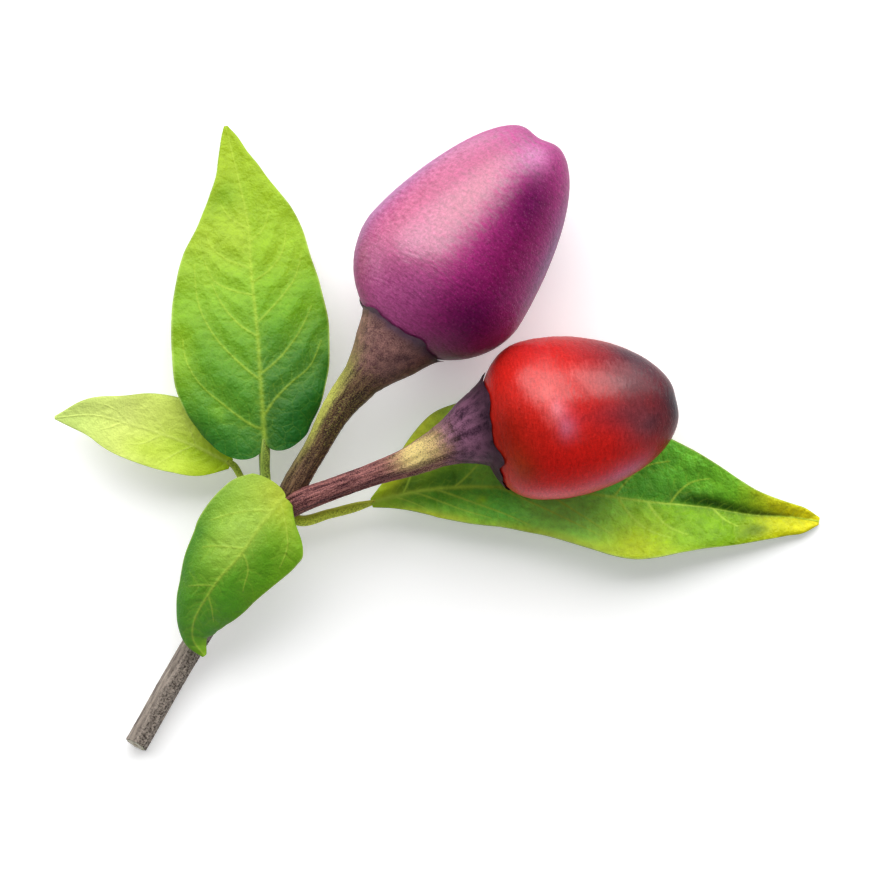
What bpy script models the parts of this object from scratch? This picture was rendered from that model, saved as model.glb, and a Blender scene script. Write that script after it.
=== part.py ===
"""Cut sprig of an ornamental chilli pepper: a woody stem, two fruits and four leaves.

Blender 4.5, metres, +Z up. The sprig lies on the ground plane z = 0 with its origin under the
middle of its footprint. +X runs towards the tip of the long leaf, and +Y towards the tip of the
tall leaf. Every size and place below is in millimetres in that frame, and MM turns it to metres.
"""
import math

import bmesh
import bpy
import numpy as np
from mathutils import Matrix, Vector

MM = 0.001
GAP = 0.3               # clearance between neighbouring solids
WELD = 1e-6             # metres, for caps and seams that meet exactly
SHARP_ANGLE = 50.0      # degrees between two faces past which their shared edge stays sharp

# ---- woody stem and stalks: stations of (x, y, z, radius) from the foot of each limb outward
STEM = ((-36.7, -37.4, 1.42, 1.42), (-29.9, -25.6, 2.3, 1.4), (-23.9, -16.3, 4.0, 1.42),
        (-19.2, -9.3, 5.8, 1.6), (-17.9, -7.4, 6.2, 1.3))
CUT_TILT = 15.0         # degrees that the cut at the stem's foot leans up from upright
CUT_ALLOWANCE = 3.0     # the stem is drawn this much longer, then cut off flat
CUT_BLOCK = 12.0        # side of the cube that cuts it

PURPLE_PEDICEL = ((-18.2, -7.7, 6.0, 1.5), (-17.5, -5.9, 6.6, 1.5), (-14.9, -1.4, 7.8, 1.42),
                  (-11.8, 3.9, 9.8, 1.8))
RED_PEDICEL = ((-18.0, -8.4, 6.5, 1.4), (-16.8, -7.8, 7.4, 1.4), (-12.3, -6.1, 8.5, 1.3),
               (-7.6, -4.4, 9.4, 1.36), (-3.4, -2.9, 10.3, 1.75))
TALL_PETIOLE = ((-18.9, -7.8, 6.4, 0.9), (-20.2, -6.1, 7.1, 0.86), (-20.9, -4.6, 7.6, 0.84),
                (-20.8, -0.7, 8.3, 0.8))
SIDE_PETIOLE = ((-19.0, -8.4, 5.8, 0.5), (-21.2, -7.9, 5.6, 0.46), (-23.75, -4.9, 5.3, 0.42),
                (-24.7, -3.4, 5.1, 0.42))
LONG_PETIOLE = ((-18.4, -9.0, 5.4, 0.66), (-17.0, -10.0, 5.3, 0.6), (-13.0, -9.1, 5.2, 0.55),
                (-8.3, -7.9, 4.7, 0.55))
SMALL_PETIOLE = ((-18.2, -8.3, 7.0, 0.7), (-18.4, -8.1, 9.1, 0.65))

# ---- fruits: an egg turned about its own axis, which runs from the stalk's end to the tip
FRUITS = {
    "purple": dict(base=(-5.1, 12.4, 11.87), heading=51.9, pitch=-5.0, radius=11.05, widest=9.5,
                   back=10.3, front=20.4, back_power=2.0, front_power=1.6, roundness=2.4,
                   dent=1.1),
    "red": dict(base=(5.9, 1.5, 11.9), heading=6.0, pitch=-4.0, radius=9.75, widest=8.3,
                back=9.1, front=14.7, back_power=3.0, front_power=1.7, roundness=2.1,
                dent=0.25),
}
TIP_LOBES = 3           # shallow lobes round the tip of a fruit
TIP_LOBE_HEIGHT = 0.03  # how far they stand out, as a share of the radius
TIP_FADE = 4            # power by which lobes and groove die away behind the tip
GROOVE_OFFSET, GROOVE_WIDTH = 0.8, 1.6  # of the groove across the tip, from the fruit's axis

# ---- calyxes: a flared cup on the end of each pedicel, open round the foot of the fruit
CALYXES = {
    "purple": dict(rim=(-4.6, 12.2, 11.9), heading=49.0, pitch=5.0, skew=3.0, first_tooth=80.0),
    "red": dict(rim=(6.2, 1.6, 11.8), heading=25.0, pitch=4.0, skew=-8.0, first_tooth=92.0),
}
CALYX_PROFILE = ((0.0, 5.55), (-0.5, 5.4), (-1.4, 4.8), (-2.8, 3.9), (-4.8, 2.95), (-7.0, 2.3))
CALYX_WALL = 0.42       # least wall of the cup where it hugs the fruit
CALYX_HOLD = 1.5        # depth below the rim to which the cup is widened to hold the fruit
CALYX_TEETH = 5
TOOTH_LENGTH = 0.6

# ---- leaves: midrib stations (x, y, z); half-widths (share of length, left, right) as seen
# looking along the leaf; rises of the margins above the midrib at the same kind of stations;
# lobes and corners (left, right) carry the base back or forward of the midrib's foot
LEAVES = {
    "tall": dict(
        midrib=((-20.8, -0.3, 8.5), (-21.2, 5.6, 8.6), (-21.65, 12.0, 7.6), (-22.55, 20.4, 5.5),
                (-23.0, 26.0, 4.0), (-24.05, 30.8, 2.7), (-25.2, 35.3, 1.6), (-25.8, 37.9, 1.1)),
        widths=((0, 6.9, 4.9), (0.1, 8.9, 6.6), (0.3, 10.6, 8.5), (0.5, 9.4, 7.8), (0.7, 6.1, 5.7),
                (0.8, 3.9, 3.7), (0.9, 1.9, 2.1), (1, 0.25, 0.25)),
        rises=((0, -1.4, -1.2), (0.4, -1.0, -1.0), (0.8, 0.3, 0.2), (1, 0, 0)),
        lobes=(2.2, 1.7), corners=(1.6, 1.2), fold=1.6, thickness=0.45),
    "side": dict(
        midrib=((-25.0, -3.2, 5.0), (-29.2, -1.1, 5.2), (-33.45, 0.45, 5.2), (-37.3, 1.6, 5.0),
                (-41.3, 2.65, 4.6), (-46.4, 2.4, 3.7)),
        widths=((0, 0.5, 0.6), (0.1, 2.3, 2.3), (0.3, 3.8, 4.7), (0.5, 4.0, 4.5), (0.7, 3.3, 2.9),
                (0.85, 2.0, 1.8), (1, 0.2, 0.2)),
        rises=((0, 0, 0), (0.3, 0.7, 0.3), (0.7, 0.5, 0.3), (1, 0, 0)),
        lobes=(0, 0), corners=(0, 0), fold=1.3, thickness=0.35),
    "long": dict(
        midrib=((-8.0, -7.9, 4.7), (-5.9, -7.3, 4.4), (-2.0, -6.5, 3.8), (2.5, -6.1, 3.1),
                (7.5, -6.1, 2.6), (12.5, -6.4, 2.3), (18.5, -6.95, 2.1), (25.8, -7.9, 1.8),
                (32.5, -8.5, 1.5), (38.7, -9.45, 1.1), (43.3, -9.7, 0.7), (46.4, -10.2, 0.45)),
        widths=((0, 0.5, 0.6), (0.05, 2.7, 1.5), (0.1, 6.2, 2.5), (0.15, 9.1, 3.5),
                (0.2, 10.3, 4.2), (0.3, 11.8, 4.8), (0.4, 12.2, 5.5), (0.5, 11.4, 6.5),
                (0.6, 9.2, 6.9), (0.7, 6.9, 5.5), (0.8, 4.1, 4.1), (0.9, 2.0, 2.3),
                (1, 0.2, 0.2)),
        rises=((0, 0, 0), (0.1, -0.3, 0.8), (0.2, -1.7, 1.8), (0.35, -1.8, 2.9),
               (0.5, -1.6, 3.6), (0.62, -0.4, 3.4), (0.75, 1.4, 2.2), (0.9, 0.9, 0.7),
               (1, 0, 0)),
        lobes=(0, 0), corners=(0, 0), fold=0.85, thickness=0.6),
    "small": dict(
        midrib=((-18.8, -7.7, 9.5), (-21.2, -10.5, 10.1), (-24.1, -14.6, 10.2),
                (-26.3, -17.0, 9.6), (-27.7, -19.1, 8.7), (-28.8, -20.9, 7.6),
                (-29.5, -22.7, 6.5), (-29.5, -24.5, 5.5), (-28.2, -26.4, 4.8)),
        widths=((0, 0.9, 4.6), (0.05, 2.5, 5.5), (0.1, 4.8, 5.8), (0.15, 5.9, 6.1),
                (0.25, 6.0, 6.4), (0.4, 5.2, 5.9), (0.6, 4.7, 4.1), (0.7, 3.9, 3.3),
                (0.8, 3.1, 2.1), (0.9, 2.7, 1.1), (1, 0.3, 0.3)),
        rises=((0, -0.2, 0.1), (0.12, -0.8, -0.6), (0.3, -1.4, -1.8), (0.6, -1.2, -1.8),
               (0.8, -0.5, -0.9), (1, 0, 0)),
        lobes=(0, 1.3), corners=(0, 0.4), fold=1.8, thickness=0.35),
}
HEADING_SPAN = 0.03     # share of a leaf's length over which its midrib's heading is read
BASE_FADE = 6           # power by which lobes and corners die away up the leaf
LOBE_SWELL = 2.6        # brings the lobe's curve to 1 at its fullest

# ---- how finely the faceted solids are drawn
LEAF_ROWS, LEAF_COLUMNS = 22, 10
FRUIT_SIDES, FRUIT_RINGS = 32, 20
CALYX_SIDES = 36
STALK_SIDES, PETIOLE_SIDES = 14, 10
STATION_STEPS = 4       # rings drawn between two stations of a limb

# ---- colours, linear
STEM_COLOUR = (0.20, 0.17, 0.14)
PURPLE_STALK_COLOUR = (0.16, 0.09, 0.08)
RED_STALK_COLOUR = (0.15, 0.08, 0.08)
CALYX_COLOUR = (0.13, 0.06, 0.11)
PURPLE_COLOUR = (0.30, 0.04, 0.18)
RED_COLOUR = (0.47, 0.02, 0.01)
PETIOLE_COLOUR = (0.20, 0.30, 0.03)
LEAF_COLOURS = {"tall": (0.20, 0.44, 0.04), "side": (0.55, 0.66, 0.13),
                "long": (0.16, 0.38, 0.03), "small": (0.15, 0.40, 0.04)}


def smooth(knots, values, at):
    """Values read at the places `at` from a smooth curve through the given knots."""
    knots, values = np.asarray(knots, float), np.asarray(values, float)
    slopes = np.gradient(values, knots, axis=0)
    i = np.clip(np.searchsorted(knots, at) - 1, 0, len(knots) - 2)
    column = np.shape(at) + (1,) * (values.ndim - 1)
    step = np.reshape(knots[i + 1] - knots[i], column)
    s = np.reshape(at - knots[i], column) / step
    return ((2 * s**3 - 3 * s**2 + 1) * values[i] + (s**3 - 2 * s**2 + s) * step * slopes[i]
            + (3 * s**2 - 2 * s**3) * values[i + 1] + (s**3 - s**2) * step * slopes[i + 1])


def shares(points):
    """How far along the line through the points each one lies, from 0 to 1."""
    points = np.asarray(points, float)[:, :3]
    run = np.concatenate(([0.0], np.cumsum(np.linalg.norm(np.diff(points, axis=0), axis=1))))
    return run / run[-1]


def heading_vector(heading, pitch):
    """Unit vector at a heading from +X towards +Y and a pitch above the ground, in degrees."""
    a, b = math.radians(heading), math.radians(pitch)
    return Vector((math.cos(a) * math.cos(b), math.sin(a) * math.cos(b), math.sin(b)))


def placed_along(point, heading, pitch):
    """Place whose +Z runs along the heading and pitch, with its +X kept level."""
    axis = heading_vector(heading, pitch)
    level = axis.cross(Vector((0, 0, 1))).normalized()
    turn = Matrix((level, axis.cross(level), axis)).transposed().to_4x4()
    return Matrix.Translation(Vector(point) * MM) @ turn


def material(name, colour, roughness):
    """Plain surface of one colour."""
    surface = bpy.data.materials.new(name)
    surface.use_nodes = True
    shader = surface.node_tree.nodes["Principled BSDF"]
    shader.inputs["Base Color"].default_value = (*colour, 1)
    shader.inputs["Roughness"].default_value = roughness
    shader.inputs["Metallic"].default_value = 0
    return surface


def add_object(name, mesh, group, surface=None):
    """New mesh object in a group of the scene, shaded smooth but for its sharp edges."""
    mesh.shade_smooth()
    mesh.set_sharp_from_angle(angle=math.radians(SHARP_ANGLE))
    obj = bpy.data.objects.new(name, mesh)
    group.objects.link(obj)
    if surface:
        mesh.materials.append(surface)
    else:
        obj.hide_render = True
        obj.display_type = "WIRE"
    return obj


def cut_away(obj, cutters):
    """Cuts a solid back from each of the cutters."""
    for cutter in cutters:
        cut = obj.modifiers.new(f"clear_of_{cutter.name}", "BOOLEAN")
        cut.operation = "DIFFERENCE"
        cut.object = cutter


def evaluated_mesh(obj):
    """The object's mesh with its curve or modifiers worked out, and its seams welded."""
    bpy.context.view_layer.update()
    seen = obj.evaluated_get(bpy.context.evaluated_depsgraph_get())
    mesh = bpy.data.meshes.new_from_object(seen)
    work = bmesh.new()
    work.from_mesh(mesh)
    bmesh.ops.remove_doubles(work, verts=work.verts, dist=WELD)
    work.to_mesh(mesh)
    work.free()
    return mesh


def limb(name, stations, sides, group, surface=None, grow=0.0):
    """Tapering round limb with flat ends. `grow` widens and lengthens it into a cutter."""
    knots = shares(stations)
    count = STATION_STEPS * (len(stations) - 1) + 1
    drawn = smooth(knots, stations, np.linspace(0, 1, count))
    if grow:
        for end, inner in ((0, 1), (-1, -2)):
            outward = drawn[end, :3] - drawn[inner, :3]
            drawn[end, :3] += outward / np.linalg.norm(outward) * grow
    curve = bpy.data.curves.new(name, "CURVE")
    curve.dimensions = "3D"
    curve.bevel_depth = MM
    curve.bevel_resolution = (sides - 4) // 2   # a bevel has four sides at resolution nought
    curve.use_fill_caps = True
    spline = curve.splines.new("POLY")
    spline.points.add(count - 1)
    for point, (x, y, z, radius) in zip(spline.points, drawn):
        point.co = (x * MM, y * MM, z * MM, 1)
        point.radius = radius + grow
    guide = bpy.data.objects.new(name + "_route", curve)
    group.objects.link(guide)
    mesh = evaluated_mesh(guide)
    place = guide.matrix_world.copy()
    bpy.data.objects.remove(guide)
    obj = add_object(name, mesh, group, surface)
    obj.matrix_world = place
    return obj


def leaf_point(leaf, along, across):
    """Point of a leaf's middle surface, from its base 0 to its tip 1 and margin -1 to margin 1."""
    knots = shares(leaf["midrib"])
    here = smooth(knots, leaf["midrib"], along)
    ahead = smooth(knots, leaf["midrib"], min(along + HEADING_SPAN, 1.0))
    behind = smooth(knots, leaf["midrib"], max(along - HEADING_SPAN, 0.0))
    run = Vector((ahead - behind)[:2]).normalized()
    left = Vector((-run.y, run.x))
    side = 0 if across >= 0 else 1
    out = abs(across)
    widths, rises = np.array(leaf["widths"], float), np.array(leaf["rises"], float)
    width = smooth(widths[:, 0], widths[:, 1 + side], along)
    rise = smooth(rises[:, 0], rises[:, 1 + side], along)
    corner = leaf["corners"][side] * out**4
    lobe = leaf["lobes"][side] * LOBE_SWELL * (1 - out) * out**0.5
    shift = (corner - lobe) * (1 - along) ** BASE_FADE
    plan = Vector(here[:2]) + left * (width * across) + run * shift
    return Vector((plan.x, plan.y, here[2] + rise * out ** leaf["fold"])) * MM


def blade(name, leaf, group, surface):
    """Thin leaf blade: a grid laid along the midrib, given its thickness."""
    work = bmesh.new()
    bmesh.ops.create_grid(work, x_segments=LEAF_ROWS, y_segments=LEAF_COLUMNS, size=1)
    for vert in work.verts:
        vert.co = leaf_point(leaf, (vert.co.x + 1) / 2, vert.co.y)
    bmesh.ops.recalc_face_normals(work, faces=work.faces)
    mesh = bpy.data.meshes.new(name)
    work.to_mesh(mesh)
    work.free()
    obj = add_object(name, mesh, group, surface)
    body = obj.modifiers.new("thickness", "SOLIDIFY")
    body.thickness = leaf["thickness"] * MM
    body.offset = 0
    return obj


def fruit_radius(fruit, along):
    """Radius of a fruit at a distance along its axis, nothing past its ends."""
    ahead = along - fruit["widest"]
    if ahead < 0:
        left = 1 - min(-ahead / fruit["back"], 1) ** fruit["back_power"]
        return fruit["radius"] * left**0.5
    left = 1 - min(ahead / fruit["front"], 1) ** fruit["front_power"]
    return fruit["radius"] * left ** (1 / fruit["roundness"])


def fruit_point(fruit, unit, grow):
    """Point of a fruit's skin for a direction on the unit ball, its axis along +Z."""
    reach = fruit["front"] if unit.z > 0 else fruit["back"]
    along = fruit["widest"] + reach * unit.z
    radius = fruit_radius(fruit, along)
    around = math.atan2(unit.y, unit.x)
    tip = max(unit.z, 0) ** TIP_FADE
    radius *= 1 + TIP_LOBE_HEIGHT * tip * math.cos(TIP_LOBES * around)
    off_groove = (radius * math.cos(around) + GROOVE_OFFSET) / GROOVE_WIDTH
    along -= fruit["dent"] * tip * math.exp(-off_groove**2)
    point = Vector((radius * math.cos(around), radius * math.sin(around), along))
    outward = Vector((unit.x, unit.y, unit.z)).normalized()
    return (point + outward * grow) * MM


def fruit_body(name, fruit, group, surface=None, grow=0.0):
    """Fruit on its side, its axis running from the calyx to the tip."""
    work = bmesh.new()
    bmesh.ops.create_uvsphere(work, u_segments=FRUIT_SIDES, v_segments=FRUIT_RINGS, radius=1)
    for vert in work.verts:
        vert.co = fruit_point(fruit, vert.co, grow)
    mesh = bpy.data.meshes.new(name)
    work.to_mesh(mesh)
    work.free()
    obj = add_object(name, mesh, group, surface)
    obj.matrix_world = placed_along(fruit["base"], fruit["heading"], fruit["pitch"])
    return obj


def tooth(calyx, around):
    """Length of the calyx's teeth at an angle round its rim."""
    turn = CALYX_TEETH * (around - math.radians(calyx["first_tooth"]))
    return TOOTH_LENGTH * max(math.cos(turn), 0) ** 2


def calyx_cup(name, calyx, fruit, group, surface, neighbours):
    """Flared cup turned about the stalk's end, fitted over the fruit's foot and hollowed by it."""
    profile = bpy.data.meshes.new(name + "_profile")
    outer = [(radius * MM, 0, z * MM) for z, radius in CALYX_PROFILE]
    points = [(0, 0, 0), *outer, (0, 0, outer[-1][2])]
    profile.from_pydata(points, [(i, i + 1) for i in range(len(points) - 1)], [])
    turned = bpy.data.objects.new(name + "_profile", profile)
    group.objects.link(turned)
    screw = turned.modifiers.new("turned", "SCREW")
    screw.steps = CALYX_SIDES
    screw.render_steps = CALYX_SIDES
    screw.use_merge_vertices = True
    screw.merge_threshold = WELD
    mesh = evaluated_mesh(turned)
    bpy.data.objects.remove(turned)

    place = placed_along(calyx["rim"], calyx["heading"], calyx["pitch"])
    on_fruit = placed_along(fruit["base"], fruit["heading"], fruit["pitch"])
    neck, rim_radius = -CALYX_PROFILE[-1][0], CALYX_PROFILE[0][1]
    lean = math.tan(math.radians(calyx["skew"]))
    for vert in mesh.vertices:
        spread, depth = math.hypot(vert.co.x, vert.co.y) / MM, -vert.co.z / MM
        vert.co.z += (1 - depth / neck) ** 2 * lean * vert.co.x
        if math.isclose(spread, rim_radius, rel_tol=1e-3):
            vert.co.z += tooth(calyx, math.atan2(vert.co.y, vert.co.x)) * MM
        seated = on_fruit.inverted() @ place @ vert.co
        away = math.hypot(seated.x, seated.y)
        least = (fruit_radius(fruit, seated.z / MM) + GAP + CALYX_WALL) * MM
        if depth < CALYX_HOLD and 0 < spread and away < least:
            seated.x, seated.y = seated.x * least / away, seated.y * least / away
            vert.co = place.inverted() @ on_fruit @ seated
    obj = add_object(name, mesh, group, surface)
    obj.matrix_world = place
    cut_away(obj, neighbours)
    return obj


def pedicel_route(stations, calyx):
    """Stations of a pedicel, carried on to just short of its calyx."""
    back = heading_vector(calyx["heading"], calyx["pitch"]) * (CALYX_PROFILE[-1][0] - GAP)
    end = Vector(calyx["rim"]) + back
    return (*stations, (*end, CALYX_PROFILE[-1][1]))


def stem_route():
    """Stations of the stem with its foot drawn on past the cut."""
    foot, above = Vector(STEM[0][:3]), Vector(STEM[1][:3])
    longer = foot + (foot - above).normalized() * CUT_ALLOWANCE
    return ((*longer, STEM[0][3]), *STEM)


def cut_plane():
    """Middle of the stem's cut and the way that it faces."""
    foot, above = Vector(STEM[0][:3]), Vector(STEM[1][:3])
    run = (foot - above).normalized()
    level = Vector((run.x, run.y, 0)).normalized()
    tilt = math.radians(CUT_TILT)
    return foot * MM, (level * math.cos(tilt) + Vector((0, 0, math.sin(tilt)))).normalized()


def cut_block(group):
    """Block that slices the stem's foot off flat."""
    point, facing = cut_plane()
    work = bmesh.new()
    bmesh.ops.create_cube(work, size=CUT_BLOCK * MM)
    mesh = bpy.data.meshes.new("foot_cut")
    work.to_mesh(mesh)
    work.free()
    block = add_object("foot_cut", mesh, group)
    block.rotation_mode = "QUATERNION"
    block.rotation_quaternion = facing.to_track_quat("Z", "Y")
    block.location = point + facing * (CUT_BLOCK * MM / 2)
    return block


def main():
    """Clears the scene and builds the sprig."""
    for obj in list(bpy.data.objects):
        bpy.data.objects.remove(obj)
    parts = bpy.data.collections.new("chilli_sprig")
    cutters = bpy.data.collections.new("cutters")
    bpy.context.scene.collection.children.link(parts)
    bpy.context.scene.collection.children.link(cutters)

    purple_route = pedicel_route(PURPLE_PEDICEL, CALYXES["purple"])
    red_route = pedicel_route(RED_PEDICEL, CALYXES["red"])
    stem_space = limb("stem_space", stem_route(), STALK_SIDES, cutters, grow=GAP)
    purple_space = limb("purple_pedicel_space", purple_route, STALK_SIDES, cutters, grow=GAP)
    red_space = limb("red_pedicel_space", red_route, STALK_SIDES, cutters, grow=GAP)
    stalks = [stem_space, purple_space, red_space]

    bark = material("stem", STEM_COLOUR, 0.7)
    stem = limb("stem", stem_route(), STALK_SIDES, parts, bark)
    cut_away(stem, [cut_block(cutters)])
    skin = material("purple_pedicel", PURPLE_STALK_COLOUR, 0.5)
    pedicel = limb("purple_pedicel", purple_route, STALK_SIDES, parts, skin)
    cut_away(pedicel, [stem_space])
    skin = material("red_pedicel", RED_STALK_COLOUR, 0.5)
    pedicel = limb("red_pedicel", red_route, STALK_SIDES, parts, skin)
    cut_away(pedicel, [stem_space, purple_space])

    for kind, colour, stalk_space in (("purple", PURPLE_COLOUR, purple_space),
                                      ("red", RED_COLOUR, red_space)):
        fruit, calyx = FRUITS[kind], CALYXES[kind]
        skin = material(f"{kind}_fruit", colour, 0.3)
        fruit_body(f"{kind}_fruit", fruit, parts, skin)
        space = fruit_body(f"{kind}_fruit_space", fruit, cutters, grow=GAP)
        cup = material(f"{kind}_calyx", CALYX_COLOUR, 0.5)
        calyx_cup(f"{kind}_calyx", calyx, fruit, parts, cup, [space, stalk_space])

    petioles = {"tall": TALL_PETIOLE, "side": SIDE_PETIOLE, "long": LONG_PETIOLE,
                "small": SMALL_PETIOLE}
    for kind, stations in petioles.items():
        green = material(f"{kind}_petiole", PETIOLE_COLOUR, 0.5)
        petiole = limb(f"{kind}_petiole", stations, PETIOLE_SIDES, parts, green)
        cut_away(petiole, stalks)
        space = limb(f"{kind}_petiole_space", stations, PETIOLE_SIDES, cutters, grow=GAP)
        surface = material(f"{kind}_leaf", LEAF_COLOURS[kind], 0.4)
        leaf = blade(f"{kind}_leaf", LEAVES[kind], parts, surface)
        cut_away(leaf, [space])


main()
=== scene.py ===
"""Looks of a cut chilli pepper sprig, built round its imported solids.

Blender 4.5, metres, +Z up. The sprig lies on the ground z = 0: a woody stem, two stalks that flare
into calyxes, a purple and a red fruit, and four leaves. Sizes are in millimetres in the fields of
the classes below, and MM turns them to metres when a mesh is made.
"""
import logging
import math
from dataclasses import dataclass, field
from enum import Enum
from typing import Any

import bmesh
import bpy
import numpy as np
from mathutils import Matrix, Vector, noise


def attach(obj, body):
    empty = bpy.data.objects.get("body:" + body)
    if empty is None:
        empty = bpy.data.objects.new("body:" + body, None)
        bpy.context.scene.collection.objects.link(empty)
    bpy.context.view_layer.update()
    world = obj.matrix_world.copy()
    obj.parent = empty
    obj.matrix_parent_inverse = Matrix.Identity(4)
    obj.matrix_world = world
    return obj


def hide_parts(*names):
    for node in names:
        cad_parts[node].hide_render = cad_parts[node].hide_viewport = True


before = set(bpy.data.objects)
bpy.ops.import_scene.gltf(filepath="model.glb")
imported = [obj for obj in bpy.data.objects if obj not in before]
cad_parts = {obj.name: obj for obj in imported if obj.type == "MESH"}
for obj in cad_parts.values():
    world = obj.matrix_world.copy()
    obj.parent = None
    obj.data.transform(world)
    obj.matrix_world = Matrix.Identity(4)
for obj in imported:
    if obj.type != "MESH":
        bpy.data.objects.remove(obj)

LOG = logging.getLogger("sprig")
MM = 0.001
BODY = "root"
STUDIO_LIGHT = 1.2
SHEEN = 0.02
DARKEST = 0.002
TINY = 1e-9

Point = tuple[float, float, float]
Colour = tuple[float, float, float]
Stops = tuple[tuple[float, Colour], ...]
Range = tuple[float, float]
Stations = tuple[tuple[float, ...], ...]
Number = "Value | float"


class Mark(str, Enum):
    """Names of the values that a mesh carries at its points for its finish to read."""

    ALONG = "along"
    ACROSS = "across"
    UNDER = "under"
    VEIN = "vein"
    NET = "net"
    BULGE = "bulge"
    RING = "ring"
    BALL = "ball"


def screen(*shares: int) -> Colour:
    """Linear colour of a screen colour.

    Args:
        *shares: Red, green and blue, from 0 to 255.

    Returns:
        The three linear values, from 0 to 1.
    """
    given = (share / 255 for share in shares)
    return tuple(s / 12.92 if s <= 0.04045 else ((s + 0.055) / 1.055) ** 2.4 for s in given)


def albedo(*shares: int) -> Colour:
    """Colour of a surface that is seen as a screen colour in the studio's light.

    Args:
        *shares: Red, green and blue as seen, from 0 to 255.

    Returns:
        The three linear values.
    """
    return tuple(max(c - SHEEN, DARKEST) / STUDIO_LIGHT for c in screen(*shares))


def tones(*rows: tuple[float, int, int, int]) -> Stops:
    """Colours along a ramp.

    Args:
        *rows: Place of each colour from 0 to 1, and its red, green and blue as seen.

    Returns:
        The ramp's stops.
    """
    return tuple((place, albedo(*shares)) for place, *shares in rows)


# ---- Nodes ----


class Value:
    """Output of a node that arithmetic can be written with."""

    def __init__(self, tree: "NodeTree", socket: bpy.types.NodeSocket) -> None:
        """Wraps a socket of a tree."""
        self.tree = tree
        self.socket = socket

    def __add__(self, other: Number) -> "Value":
        """Sum."""
        return self.tree.math("ADD", self, other)

    def __sub__(self, other: Number) -> "Value":
        """Difference."""
        return self.tree.math("SUBTRACT", self, other)

    def __rsub__(self, other: Number) -> "Value":
        """Difference from a plain number."""
        return self.tree.math("SUBTRACT", other, self)

    def __mul__(self, other: Number) -> "Value":
        """Product."""
        return self.tree.math("MULTIPLY", self, other)

    def __truediv__(self, other: Number) -> "Value":
        """Quotient."""
        return self.tree.math("DIVIDE", self, other)

    def __pow__(self, other: Number) -> "Value":
        """Power."""
        return self.tree.math("POWER", self, other)

    def __abs__(self) -> "Value":
        """Size without its sign."""
        return self.tree.math("ABSOLUTE", self)

    __radd__ = __add__
    __rmul__ = __mul__

    def fading(self) -> "Value":
        """Value that falls from 1 towards 0 as this one grows."""
        return self.tree.math("EXPONENT", 0.0 - self)

    def sine(self) -> "Value":
        """Sine of an angle in radians."""
        return self.tree.math("SINE", self)

    def cosine(self) -> "Value":
        """Cosine of an angle in radians."""
        return self.tree.math("COSINE", self)

    def step(self, low: float, high: float) -> "Value":
        """Smooth step.

        Args:
            low: Where the step leaves 0.
            high: Where it reaches 1. It may be the smaller of the two.

        Returns:
            A value from 0 to 1.
        """
        settings = {"interpolation_type": "SMOOTHSTEP"}
        limits = (low, high, 0.0, 1.0) if low < high else (high, low, 1.0, 0.0)
        return self.tree.value("ShaderNodeMapRange", settings, dict(enumerate((self, *limits))))


class NodeTree:
    """Node tree whose nodes all come from one method."""

    def __init__(self, tree: bpy.types.NodeTree) -> None:
        """Takes the Blender tree that is to be filled."""
        self.tree = tree

    def node(self, kind: str, settings: dict[str, Any] | None = None,
             inputs: dict[str | int, Any] | None = None) -> bpy.types.Node:
        """Adds a node.

        Args:
            kind: Blender's name for the type of node.
            settings: Its own settings, set first; "stops" holds a ramp's (place, colour) pairs.
            inputs: A value, socket or node for each of its sockets, by name or number.

        Returns:
            The new node.
        """
        made = self.tree.nodes.new(kind)
        for name, setting in (settings or {}).items():
            if name == "stops":
                self._set_stops(made.color_ramp, setting)
            else:
                setattr(made, name, setting)
        for name, given in (inputs or {}).items():
            source = given.socket if isinstance(given, Value) else given
            source = source.outputs[0] if isinstance(source, bpy.types.Node) else source
            if isinstance(source, bpy.types.NodeSocket):
                self.tree.links.new(source, made.inputs[name])
            else:
                made.inputs[name].default_value = source
        return made

    @staticmethod
    def _set_stops(ramp: bpy.types.ColorRamp, stops: Stops) -> None:
        """Gives a colour ramp its stops.

        Args:
            ramp: The ramp, with Blender's own two stops.
            stops: Place and colour of each.
        """
        while len(ramp.elements) < len(stops):
            ramp.elements.new(1.0)
        for element, (place, colour) in zip(ramp.elements, stops):
            element.position = place
            element.color = (*colour, 1.0)

    def value(self, kind: str, settings: dict[str, Any] | None = None,
              inputs: dict[str | int, Any] | None = None, output: str | int = 0) -> Value:
        """Adds a node and gives one of its outputs.

        Args:
            kind: Blender's name for the type of node.
            settings: Its own settings.
            inputs: What its sockets are given.
            output: Name or number of the output.

        Returns:
            The output.
        """
        return Value(self, self.node(kind, settings, inputs).outputs[output])

    def math(self, operation: str, *values: Number) -> Value:
        """Math node on one or more values."""
        return self.value("ShaderNodeMath", {"operation": operation}, dict(enumerate(values)))

    def noise(self, at: Value, scale: float, detail: float = 2.0, rough: float = 0.5) -> Value:
        """Noise pattern.

        Args:
            at: Coordinates at which it is read.
            scale: Size of the coordinates' unit beside the pattern's.
            detail: How many finer layers are added.
            rough: Strength of the finer layers.

        Returns:
            A value about 0.5.
        """
        inputs = {"Vector": at, "Scale": scale, "Detail": detail, "Roughness": rough}
        return self.value("ShaderNodeTexNoise", None, inputs)


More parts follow.
